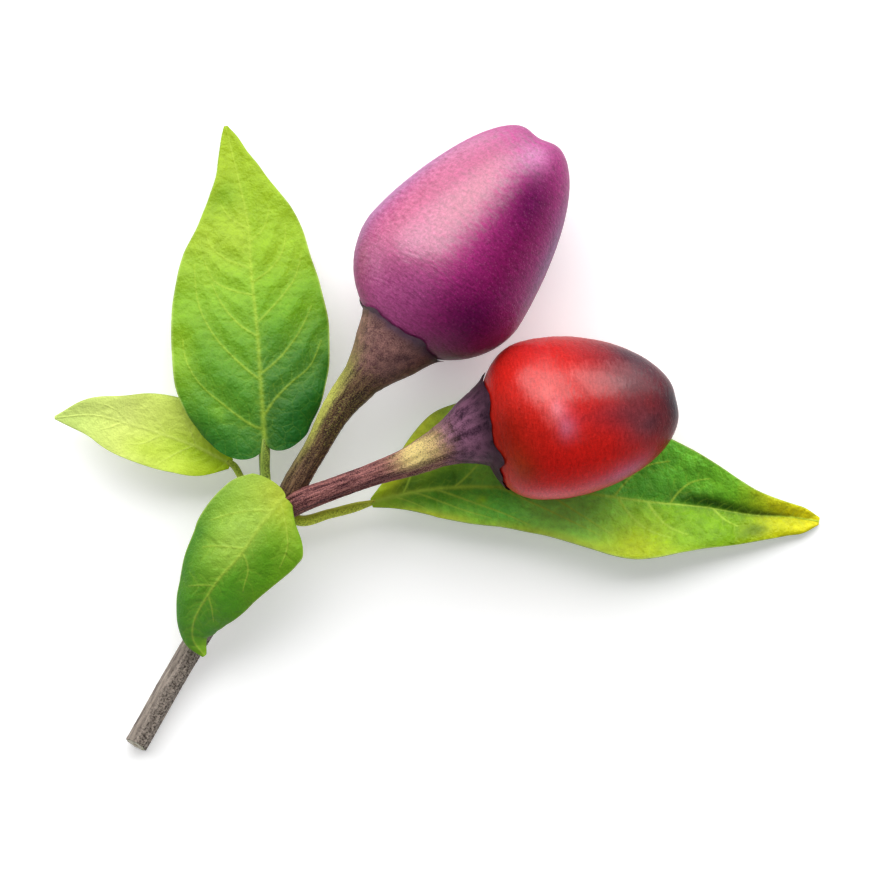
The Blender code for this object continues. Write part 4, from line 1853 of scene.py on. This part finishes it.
@dataclass
class Studio:
    """Camera over the sprig, white floor, a wide soft panel, an overhead strip and a dim room."""

    height: float = 610.0
    focus: float = 10.0
    half_frame: float = 52.5
    sensor: float = 36.0
    floor_half: float = 1500.0
    panel_at: Point = (-58.0, 666.0, 602.0)
    panel_size: Range = (2000.0, 840.0)
    panel_glow: float = 3.8
    strip_at: Point = (175.0, -80.0, 1000.0)
    strip_size: Range = (240.0, 900.0)
    strip_glow: float = 1.2
    zenith: float = 0.14
    far_horizon: float = 0.9
    near_horizon: float = 0.30
    horizon_blend: Range = (-0.5, 0.7)
    zenith_blend: Range = (0.55, 0.05)
    floor_drop: float = 0.02

    def build(self) -> None:
        """Sets up everything."""
        self.build_camera()
        self.build_floor()
        self.build_light("panel", self.panel_at, self.panel_size, self.panel_glow)
        self.build_light("strip", self.strip_at, self.strip_size, self.strip_glow)
        self.build_world()
        bpy.context.scene.view_settings.view_transform = "Standard"

    def build_camera(self) -> None:
        """Camera that looks straight down."""
        data = bpy.data.cameras.new("camera")
        data.sensor_width = self.sensor
        data.lens = self.sensor / 2 * (self.height - self.focus) / self.half_frame
        camera = add_object("camera", data)
        camera.location = (0, 0, self.height * MM)
        bpy.context.scene.camera = camera

    def build_floor(self) -> None:
        """Plain pale floor."""
        half = self.floor_half * MM
        mesh = bpy.data.meshes.new("floor")
        corners = [(x * half, y * half, 0) for x, y in ((-1, -1), (1, -1), (1, 1), (-1, 1))]
        mesh.from_pydata(corners, [], [(0, 1, 2, 3)])
        mesh.materials.append(FloorFinish().build())
        floor = add_object("floor", mesh)
        floor.location.z = -self.floor_drop * MM

    def build_light(self, name: str, at: Point, size: Range, glow: float) -> None:
        """Adds a rectangular soft panel that faces the sprig.

        Args:
            name: Its name.
            at: Its middle in millimetres.
            size: Its width and height in millimetres.
            glow: How bright its face is.
        """
        data = bpy.data.lights.new(name, "AREA")
        data.shape = "RECTANGLE"
        data.size, data.size_y = (s * MM for s in size)
        data.energy = glow * math.pi * data.size * data.size_y
        light = add_object(name, data)
        light.location = Vector(at) * MM
        light.rotation_mode = "QUATERNION"
        light.rotation_quaternion = (-Vector(at)).to_track_quat("-Z", "Y")
        light.visible_camera = False

    def build_world(self) -> None:
        """Room that is bright at the far horizon, dimmer at the near one and dark overhead."""
        world = bpy.data.worlds.new("room")
        bpy.context.scene.world = world
        world.use_nodes = True
        tree = NodeTree(world.node_tree)
        tree.tree.nodes.clear()
        direction = tree.node("ShaderNodeTexCoord").outputs["Generated"]
        parts = tree.node("ShaderNodeSeparateXYZ", None, {0: direction})
        far, upward = (Value(tree, parts.outputs[i]) for i in (1, 2))
        rise = self.far_horizon - self.near_horizon
        band = far.step(*self.horizon_blend) * rise + (self.near_horizon - self.zenith)
        light = upward.step(*self.zenith_blend) * band + self.zenith
        background = tree.node("ShaderNodeBackground", None,
                               {"Color": (1, 1, 1, 1), "Strength": light})
        output = tree.node("ShaderNodeOutputWorld")
        tree.tree.links.new(background.outputs[0], output.inputs["Surface"])


# ---- The sprig ----

SWEEP = sweep_tree()
SCATTER = scatter_tree(11)

# Partly painted light and shade: towards the base the left ramp is painted lighter, on the half
# that faces the lamp, and the right ramp darker, on the half away from it; the light patch on the
# left margin at 0.3 is painted light.
TALL_BLADE = BladeFinish(
    "tall_blade",
    left=tones((0, 56, 116, 50), (0.12, 78, 140, 50), (0.3, 105, 160, 46), (0.48, 138, 186, 52),
               (0.62, 164, 196, 58), (0.85, 162, 192, 48), (1, 164, 194, 40)),
    right=tones((0, 46, 102, 48), (0.12, 52, 110, 48), (0.25, 68, 128, 46), (0.4, 112, 168, 40),
                (0.6, 152, 192, 48), (0.85, 160, 192, 48), (1, 164, 194, 40)),
    vein=albedo(190, 216, 76), under=albedo(140, 172, 100), vein_strength=0.42,
    net_strength=0.1,
    patches=(Patch(0.78, 0.5, 0.05, 0.5, (124, 170, 28), 0.7),
             Patch(0.3, 0.95, 0.16, 0.2, (146, 190, 44), 0.7),
             Patch(0.12, 0.55, 0.03, 0.12, (126, 180, 50), 0.5)))
# Its pale ramps are partly the leaf's own colour and partly painted light that lifts the shadow of
# the tall leaf.
SIDE_BLADE = BladeFinish(
    "side_blade",
    left=tones((0, 190, 222, 40), (0.25, 212, 238, 84), (0.6, 222, 238, 124),
               (1, 206, 232, 128)),
    right=tones((0, 190, 222, 40), (0.2, 216, 240, 92), (0.6, 222, 238, 128),
                (1, 206, 230, 126)),
    vein=albedo(220, 236, 124), under=albedo(196, 210, 130), vein_strength=0.35,
    net_strength=0.1, web_strength=0.08, web_relief=0.015, mottle=0.16, halo=0, gloss=0.15,
    patches=(Patch(0.16, 0.1, 0.2, 0.5, (158, 192, 14), 0.85),
             Patch(0.45, 0.55, 0.12, 0.3, (186, 212, 60), 0.6)))
# Partly painted light and shade: from about 0.1 to 0.6 along both halves the ramps are painted
# lighter than the leaf, to lift the shadow of the red fruit and its calyx, as is the pale patch at
# (0.42, -0.4); the dark patch at (0.6, 0.55) is painted shade of the red fruit, and those at (0.76,
# 0.14) and (0.88, 0.1) are painted shade of the fold above the midrib.
LONG_BLADE = BladeFinish(
    "long_blade",
    left=tones((0, 190, 230, 50), (0.1, 238, 252, 66), (0.22, 170, 232, 84),
               (0.45, 130, 250, 100), (0.6, 120, 226, 80), (0.8, 130, 200, 56),
               (0.93, 220, 216, 16), (1, 244, 232, 10)),
    right=tones((0, 186, 226, 60), (0.12, 170, 240, 84), (0.3, 120, 232, 84),
                (0.45, 150, 240, 90), (0.62, 150, 214, 56), (0.82, 136, 184, 40),
                (0.92, 216, 220, 20), (1, 244, 232, 12)),
    vein=albedo(204, 242, 88), under=albedo(136, 168, 84), vein_strength=0.8, net_strength=0.22,
    web_strength=0.14, halo=0, mottle=0.9, web_relief=0.07,
    patches=(Patch(0.6, -0.85, 0.08, 0.5, (196, 220, 44)),
             Patch(0.45, -0.98, 0.22, 0.14, (206, 226, 56), 0.9),
             Patch(0.14, -0.98, 0.08, 0.2, (230, 246, 76), 0.9),
             Patch(0.248, -0.35, 0.012, 0.1, (190, 250, 60), 0.9),
             Patch(0.76, 0.14, 0.12, 0.17, (52, 86, 24), 0.95),
             Patch(0.88, 0.1, 0.06, 0.14, (70, 84, 14), 0.85),
             Patch(0.6, 0.55, 0.06, 0.4, (84, 156, 50), 0.6),
             Patch(0.09, 0.2, 0.05, 0.28, (70, 122, 30), 0.9),
             Patch(0.17, 0.1, 0.07, 0.28, (64, 130, 44), 0.9),
             Patch(0.13, -0.35, 0.08, 0.35, (98, 178, 50), 0.8),
             Patch(0.42, -0.4, 0.1, 0.6, (176, 255, 120), 0.7),
             Patch(0.86, -0.55, 0.03, 0.25, (88, 120, 30), 0.7)))
# Partly painted light and shade: the base and the right half, which faces the lamp, are painted
# lighter, with the patches at (0.02, 0) and (0.3, -0.25) as painted light and painted sheen, and
# the ramps are darker further out towards the tip, painted shade where the leaf bends away from the
# lamp.
SMALL_BLADE = BladeFinish(
    "small_blade",
    left=tones((0, 160, 200, 60), (0.3, 100, 160, 44), (0.6, 96, 166, 54), (0.85, 94, 166, 56),
               (1, 146, 198, 56)),
    right=tones((0, 170, 202, 78), (0.3, 150, 196, 66), (0.6, 90, 150, 46), (0.9, 82, 146, 56),
                (1, 120, 174, 40)),
    vein=albedo(188, 214, 84), under=albedo(134, 170, 88), vein_strength=0.5, web_relief=0.025,
    patches=(Patch(0.02, 0, 0.1, 0.6, (194, 206, 66), 0.8),
             Patch(0.3, -0.25, 0.16, 0.35, (166, 202, 84), 0.8),
             Patch(0.45, -0.95, 0.3, 0.3, (70, 132, 50), 0.8),
             Patch(0.8, 0.3, 0.12, 0.6, (96, 168, 60), 0.7),
             Patch(0.35, 1, 0.35, 0.22, (124, 182, 46), 0.7)))

TALL_LEAF = Leaf(
    "tall_leaf", slot="tall_blade", finish=TALL_BLADE, seed=4,
    midrib=((-20.8, -0.3, 8.5), (-21.2, 5.6, 8.6), (-21.65, 12.0, 7.6), (-22.55, 20.4, 5.5),
            (-23.0, 26.0, 4.0), (-24.05, 30.8, 2.7), (-25.2, 35.3, 1.6), (-25.8, 37.9, 1.1)),
    widths=((0, 7.55, 5.3), (0.1, 9.6, 7.2), (0.3, 10.5, 8.6), (0.5, 9.35, 7.8),
            (0.7, 6.05, 5.65), (0.8, 3.8, 3.6), (0.86, 2.45, 2.75), (0.9, 1.8, 2.0),
            (0.97, 0.8, 0.9), (1, 0.25, 0.25)),
    rises=((0, -1.4, -1.2), (0.4, -1, -1), (0.8, 0.3, 0.2), (1, 0, 0)),
    lobes=(2.2, 1.4), corners=(1.6, 1.2), fold=1.6, quilt=0.38, quilt_reach=1.5,
    rows=320, columns=148,
    laterals=(((0.05, 0), (0.135, 0.45), (0.19, 0.7), (0.25, 0.83), (0.335, 0.87)),
              ((0.19, 0), (0.25, 0.23), (0.31, 0.43), (0.4, 0.62), (0.56, 0.79)),
              ((0.32, 0), (0.365, 0.2), (0.42, 0.36), (0.5, 0.52)),
              ((0.45, 0), (0.47, 0.23), (0.51, 0.5), (0.57, 0.66)),
              ((0.535, 0), (0.57, 0.35), (0.615, 0.62), (0.68, 0.8)),
              ((0.66, 0), (0.7, 0.3), (0.76, 0.6)),
              ((0.08, 0), (0.135, -0.2), (0.18, -0.45), (0.22, -0.72), (0.29, -0.88)),
              ((0.205, 0), (0.25, -0.27), (0.315, -0.55), (0.395, -0.8)),
              ((0.36, 0), (0.425, -0.35), (0.49, -0.65), (0.57, -0.85)),
              ((0.49, 0), (0.53, -0.32), (0.59, -0.57), (0.665, -0.72)),
              ((0.62, 0), (0.66, -0.3), (0.72, -0.55))))
SIDE_LEAF = Leaf(
    "side_leaf", slot="side_blade", finish=SIDE_BLADE, seed=7,
    midrib=((-25.0, -3.2, 5.0), (-29.2, -1.1, 5.2), (-33.45, 0.45, 5.2), (-37.3, 1.6, 5.0),
            (-41.3, 2.65, 4.6), (-46.4, 2.4, 3.7)),
    widths=((0, 0.7, 0.6), (0.1, 2.75, 2.3), (0.3, 4.05, 4.7), (0.5, 4.2, 4.45),
            (0.7, 3.5, 2.8), (0.85, 2.15, 1.75), (1, 0.2, 0.2)),
    rises=((0, 0, 0), (0.3, 0.7, 0.3), (0.7, 0.5, 0.3), (1, 0, 0)),
    fold=1.3, rows=200, columns=80, quilt=0.03, quilt_reach=0.9, wave=0.12, pucker=0.012,
    midrib_radius=(0.22, 0.07), lateral_radius=(0.09, 0.04),
    laterals=(((0.22, 0), (0.28, 0.33), (0.36, 0.78)),
              ((0.4, 0), (0.48, 0.4), (0.58, 0.62)),
              ((0.62, 0), (0.67, 0.25), (0.73, 0.5)),
              ((0.2, 0), (0.27, -0.35), (0.36, -0.72)),
              ((0.38, 0), (0.46, -0.35), (0.56, -0.68)),
              ((0.58, 0), (0.66, -0.35), (0.75, -0.62))))
LONG_LEAF = Leaf(
    "long_leaf", slot="long_blade", finish=LONG_BLADE, seed=2,
    midrib=((-8.0, -7.9, 4.7), (-5.9, -7.3, 4.4), (-2.0, -6.5, 3.8), (2.5, -6.1, 3.1),
            (7.5, -6.1, 2.6), (12.5, -6.4, 2.3), (18.5, -6.95, 2.1), (25.8, -7.9, 1.8),
            (32.5, -8.5, 1.5), (38.7, -9.45, 1.1), (43.3, -9.7, 0.7), (46.5, -10.2, 0.45)),
    widths=((0, 0.5, 0.6), (0.05, 2.7, 1.5), (0.1, 6.2, 2.5), (0.15, 9.1, 3.5),
            (0.2, 10.3, 4.2), (0.3, 11.8, 4.8), (0.4, 12.2, 5.5), (0.5, 11.4, 6.5),
            (0.6, 9.2, 7.05), (0.7, 7.0, 5.7), (0.8, 4.25, 4.3), (0.87, 2.8, 3.1),
            (0.93, 1.75, 2.35), (0.97, 1.25, 1.75), (1, 0.45, 0.5)),
    rises=((0, 0, 0), (0.1, -0.3, 0.8), (0.2, -1.7, 1.8), (0.35, -1.8, 2.9),
           (0.5, -1.6, 3.6), (0.62, -0.4, 3.4), (0.75, 1.4, 2.2), (0.9, 0.9, 0.7),
           (1, 0, 0)),
    fold=0.85, rows=400, columns=120, quilt=0.32, wave=0.14, midrib_radius=(0.26, 0.09),
    ruffles=((0.09, -1, 0.018, 0.35), (0.14, -1, 0.02, -0.3), (0.18, -1, 0.02, 0.25)),
    laterals=(((0.07, 0), (0.095, 0.33), (0.12, 0.62)),
              ((0.185, 0), (0.21, 0.1), (0.24, 0.25), (0.3, 0.55)),
              ((0.3, 0), (0.34, 0.3), (0.4, 0.65)),
              ((0.42, 0), (0.46, 0.3), (0.52, 0.65)),
              ((0.54, 0), (0.575, 0.3), (0.61, 0.5), (0.66, 0.66)),
              ((0.665, 0), (0.68, 0.18), (0.705, 0.4), (0.745, 0.62)),
              ((0.05, 0), (0.08, -0.45), (0.12, -0.8)),
              ((0.09, 0), (0.15, -0.42), (0.21, -0.66), (0.27, -0.8)),
              ((0.14, 0), (0.21, -0.35), (0.275, -0.58), (0.36, -0.84)),
              ((0.285, 0), (0.345, -0.26), (0.42, -0.5), (0.52, -0.72)),
              ((0.38, 0), (0.43, -0.25), (0.49, -0.48), (0.55, -0.66)),
              ((0.55, 0), (0.58, -0.26), (0.62, -0.48), (0.67, -0.66)),
              ((0.615, 0), (0.64, -0.25), (0.67, -0.47), (0.71, -0.64)),
              ((0.76, 0), (0.79, -0.25), (0.82, -0.42))))
SMALL_LEAF = Leaf(
    "small_leaf", slot="small_blade", finish=SMALL_BLADE, seed=9,
    midrib=((-18.38, -7.2, 9.35), (-21.2, -10.5, 10.1), (-24.1, -14.6, 10.2),
            (-26.3, -17.0, 9.6), (-27.7, -19.1, 8.7), (-28.8, -20.9, 7.6),
            (-29.5, -22.7, 6.5), (-29.5, -24.5, 5.5), (-28.2, -26.4, 4.8)),
    widths=((0, 1.5, 4.8), (0.05, 3.1, 5.55), (0.1, 5.05, 6.1), (0.15, 6.1, 6.35),
            (0.25, 6.25, 6.65), (0.4, 5.25, 6.3), (0.6, 4.7, 4.15), (0.7, 3.9, 3.25),
            (0.8, 3.1, 2.1), (0.88, 2.45, 1.3), (0.95, 1.2, 0.7), (1, 0.3, 0.3)),
    rises=((0, -0.2, 0.1), (0.12, -0.8, -0.6), (0.3, -1.4, -1.8), (0.6, -1.2, -1.8),
           (0.8, -0.5, -0.9), (1, 0, 0)),
    lobes=(0, 0.6), corners=(0.6, 0.3), fold=1.8, rows=230, columns=120, quilt=0.1,
    pucker=0.04, wave=0.08, midrib_radius=(0.25, 0.08), lateral_radius=(0.11, 0.05),
    laterals=(((0.03, 0), (0.07, 0.35), (0.15, 0.58), (0.3, 0.78)),
              ((0.34, 0), (0.385, 0.33), (0.48, 0.62)),
              ((0.62, 0), (0.67, 0.3), (0.74, 0.6)),
              ((0.1, 0), (0.18, -0.38), (0.25, -0.65), (0.295, -0.78)),
              ((0.32, 0), (0.38, -0.35), (0.46, -0.68)),
              ((0.56, 0), (0.59, -0.27), (0.635, -0.65))))

# Some of these patches are painted light and shade: the pink ones at (-0.7, -0.65, 0.15) and
# (-0.25, -0.85, 0.35) are partly the skin's own pink and partly painted light on the side that
# faces the lamp; the dark ones at (0.5, -0.8, 0.2), (0.32, -0.75, 0.6) and (0.62, -0.72, -0.35) are
# partly the skin's own dark purple and partly painted shade on the side away from it; the lavender
# ones at (0.85, -0.25, 0.4) and (-0.98, -0.15, 0.15) are painted rim reflections; and the pale one
# at (0.04, -0.54, 0.84) is a painted highlight.
PURPLE_SKIN = SkinFinish(
    "purple_skin", base=screen(156, 42, 114), roughness=0.38, speckle=screen(206, 130, 166),
    blushes_and_light=(BlushAndLight((-0.7, -0.65, 0.15), 0.5, (170, 62, 106), 0.9, (0.8, 1, 1.6)),
             BlushAndLight((-0.25, -0.85, 0.35), 0.35, (164, 60, 88), 0.7, (0.8, 1, 1.6)),
             BlushAndLight((-0.05, -0.85, -0.5), 0.3, (164, 66, 128), 0.7),
             BlushAndLight((-0.3, -0.45, -0.8), 0.45, (176, 80, 138), 0.9),
             BlushAndLight((0.5, -0.8, 0.2), 0.46, (116, 16, 76), 0.95, (0.8, 1, 2.0)),
             BlushAndLight((0.32, -0.75, 0.6), 0.26, (88, 4, 66), 0.9),
             BlushAndLight((0.62, -0.72, -0.35), 0.36, (98, 6, 74), 0.95, (1.2, 1, 1)),
             BlushAndLight((0.85, -0.25, 0.4), 0.24, (106, 94, 132), 0.6, (1, 1, 2.4)),
             BlushAndLight((-0.98, -0.15, 0.15), 0.3, (142, 98, 142), 0.75, (1, 1, 3.0)),
             BlushAndLight((0, 0.3, 0.9), 0.55, (122, 46, 100), 0.7),
             BlushAndLight((0.04, -0.54, 0.84), 0.18, (196, 130, 172), 0.6),
             BlushAndLight((0.6, -0.15, -0.85), 0.34, (124, 100, 114), 0.7),
             BlushAndLight((0, 0.9, 0), 0.8, (120, 50, 120), 0.6)),
    windows=(Window((-0.8, 0), (-0.55, 0.92), soft=0.22),),
    ragged=0.5, speckle_strength=0.07, tick=1, grain=1.6, gloss=0.1, coat=1,
    coat_roughness=0.4, coat_index=1.85, relief=0.055)
# Some of these patches are painted light: the pink ones at (0.95, -0.3, -0.15) and (0.8, -0.36,
# 0.52) are painted rim reflections along the lower edge, and the three at (-0.28, -0.93, -0.17),
# (-0.1, -1, -0.06) and (0.12, -0.98, 0.01) are a painted reflection of the lamp running down from
# the highlight.
RED_SKIN = SkinFinish(
    "red_skin", base=screen(190, 32, 26), roughness=0.3, speckle=screen(210, 60, 50),
    blushes_and_light=(BlushAndLight((0.75, -0.65, 0.1), 0.5, (226, 28, 22), 0.9, (1, 1, 1.5)),
             BlushAndLight((0.15, -0.7, -0.8), 0.42, (128, 22, 8), 0.9),
             BlushAndLight((0.55, -0.65, -0.6), 0.24, (150, 56, 20), 0.7),
             BlushAndLight((0.05, -0.85, 0.5), 0.26, (132, 34, 44), 0.8, (0.8, 1, 1.2)),
             BlushAndLight((0.2, -0.7, 0.7), 0.22, (128, 70, 78), 0.85),
             BlushAndLight((-0.3, -0.75, 0.62), 0.27, (122, 66, 70), 0.9, (1.2, 1.2, 1)),
             BlushAndLight((0, -0.3, 1), 0.46, (28, 20, 32), 1, (1.6, 1.4, 1)),
             BlushAndLight((-0.7, -0.35, 0.7), 0.56, (46, 30, 44), 0.95),
             BlushAndLight((0.95, -0.3, -0.15), 0.2, (240, 110, 124), 0.85, (1, 1, 3.0)),
             BlushAndLight((0.8, -0.36, 0.52), 0.19, (200, 112, 158), 0.7, (1, 1, 1.6)),
             BlushAndLight((-0.28, -0.93, -0.17), 0.13, (232, 104, 100), 0.4, (1.3, 1, 0.8)),
             BlushAndLight((-0.1, -1, -0.06), 0.12, (222, 116, 124), 0.9, (1.1, 1, 0.8)),
             BlushAndLight((0.12, -0.98, 0.01), 0.12, (192, 84, 108), 0.85, (1.3, 1, 0.7))),
    windows=(Window((-0.99, -0.18), (-0.3, 0.3), slant=0.45, soft=0.12),
             Window((-0.6, -0.18), (0.3, 0.92), slant=0.45, soft=0.12),
             Window((-0.45, 0.32), (-0.28, 0.02), slant=0.45, soft=0.09, strength=0.9)),
    ragged=0.26, speckle_strength=0.06, tick=0.85, grain=1, gloss=0.06, coat=0.74,
    coat_roughness=0.32, coat_index=1.55, relief=0.042)

PURPLE_FRUIT = Fruit(
    "purple_fruit", base=(-5.0, 12.33, 11.95), heading=52.6, pitch=-5.0, radius=11.15, widest=9.5,
    back=10.3, front=20.7, back_power=2.0, front_power=1.38, roundness=2.34, dent=0.95,
    tip_lobe_height=0.014, groove_width=2.0, finish=PURPLE_SKIN, slot="purple_skin")
RED_FRUIT = Fruit(
    "red_fruit", base=(5.9, 1.5, 11.9), heading=6.0, pitch=-4.0, radius=9.75, widest=8.3,
    back=9.1, front=14.9, back_power=3.0, front_power=1.7, roundness=2.1, dent=0.25,
    finish=RED_SKIN, slot="red_skin", seed=8.0)

PURPLE_STALK = FruitStalk(
    "purple", rim=(-4.6, 12.2, 11.9), heading=49.0, pitch=5.0, skew=3.0, first_tooth=80.0,
    fruit=PURPLE_FRUIT,
    stations=((-18.2, -7.7, 6.0, 1.5), (-17.35, -5.95, 6.6, 1.5), (-14.7, -1.45, 7.8, 1.46),
              (-11.7, 3.85, 9.8, 1.9)),
    profile=((-7.0, 2.4), (-4.8, 3.22), (-2.8, 4.2), (-1.4, 4.95), (-0.5, 5.42), (0, 5.55)),
    finish=StalkFinish(
        "purple_stalk", dark=screen(46, 28, 26), light=screen(128, 98, 72),
        pale=screen(196, 200, 92), pale_from=-11.0, pale_to=0.4, pale_side=math.radians(190),
        pale_strength=0.95, calyx_dark=screen(72, 42, 50), calyx_light=screen(156, 112, 104),
        rim=screen(66, 48, 72)))
RED_STALK = FruitStalk(
    "red", rim=(6.2, 1.6, 11.8), heading=25.0, pitch=4.0, skew=-8.0, first_tooth=92.0,
    fruit=RED_FRUIT, seed=6.0,
    stations=((-18.0, -8.4, 6.5, 1.4), (-16.8, -7.8, 7.4, 1.4), (-12.3, -6.1, 8.5, 1.3),
              (-7.6, -4.4, 9.4, 1.36), (-3.4, -2.9, 10.3, 1.75)),
    finish=StalkFinish(
        "red_stalk", dark=screen(54, 24, 34), light=screen(172, 114, 108),
        pale=screen(228, 206, 132), pale_from=-4.6, pale_to=0.6, pale_side=math.radians(250),
        pale_strength=0.95, calyx_dark=screen(36, 12, 34), calyx_light=screen(150, 100, 128),
        cup_streaks=0.3, rim=screen(26, 8, 20), rim_width=3.0, gloss=0.1))

STEM = Stem(
    "stem", slot="bark", sides=96, ribs=8, rib_depth=0.07, grain_depth=0.1,
    stations=((-36.7, -37.4, 1.42, 1.33), (-29.9, -25.6, 2.3, 1.36), (-23.9, -16.3, 4.0, 1.4),
              (-19.2, -9.3, 5.8, 1.6), (-17.9, -7.4, 6.2, 1.3)),
    finish=BarkFinish("bark", dark=screen(70, 60, 54), light=screen(168, 156, 144),
                      groove=screen(34, 28, 26), granule=3.4))

PETIOLES = (
    Limb("tall_petiole", slot="petiole", rib_depth=0.09,
         stations=((-18.9, -7.8, 6.4, 0.8), (-20.6, -6.2, 7.1, 0.68), (-20.85, -4.2, 7.6, 0.62),
                   (-20.85, -1.2, 8.2, 0.6), (-20.8, -0.2, 8.3, 0.42)),
         finish=green_bark("tall_petiole", screen(84, 104, 38), screen(154, 178, 72))),
    Limb("side_petiole", slot="petiole", grain_depth=0.02,
         stations=((-19.0, -8.4, 5.8, 0.5), (-21.2, -7.9, 5.6, 0.46), (-23.75, -4.9, 5.3, 0.42),
                   (-24.7, -3.4, 5.1, 0.42), (-25.4, -2.9, 5.0, 0.36)),
         finish=green_bark("side_petiole", screen(134, 156, 36), screen(176, 192, 66))),
    Limb("long_petiole", slot="petiole", rib_depth=0.06,
         stations=((-18.4, -9.0, 5.4, 0.6), (-17.0, -9.9, 5.3, 0.66), (-13.0, -9.15, 5.2, 0.6),
                   (-9.4, -8.22, 4.85, 0.53), (-8.2, -7.9, 4.65, 0.36), (-7.0, -7.6, 4.35, 0.2)),
         finish=green_bark("long_petiole", screen(172, 188, 44), screen(226, 238, 80))),
    Limb("small_petiole", slot="petiole", rib_depth=0.04, grain_depth=0.02,
         stations=((-18.2, -8.3, 6.6, 0.7), (-18.3, -8.2, 8.0, 0.7), (-18.5, -8.1, 9.4, 0.6)),
         finish=green_bark("small_petiole", screen(120, 150, 40), screen(170, 190, 60))),
)


def main() -> None:
    """Builds the sprig and its studio in order."""
    logging.basicConfig(level=logging.INFO, format="%(message)s")
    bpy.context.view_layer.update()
    Studio().build()
    STEM.build()
    for petiole in PETIOLES:
        petiole.build()
    for stalk in (PURPLE_STALK, RED_STALK):
        stalk.build()
        stalk.fruit.build()
    for leaf in (TALL_LEAF, SIDE_LEAF, LONG_LEAF, SMALL_LEAF):
        leaf.build()


if __name__ == "__main__":
    main()
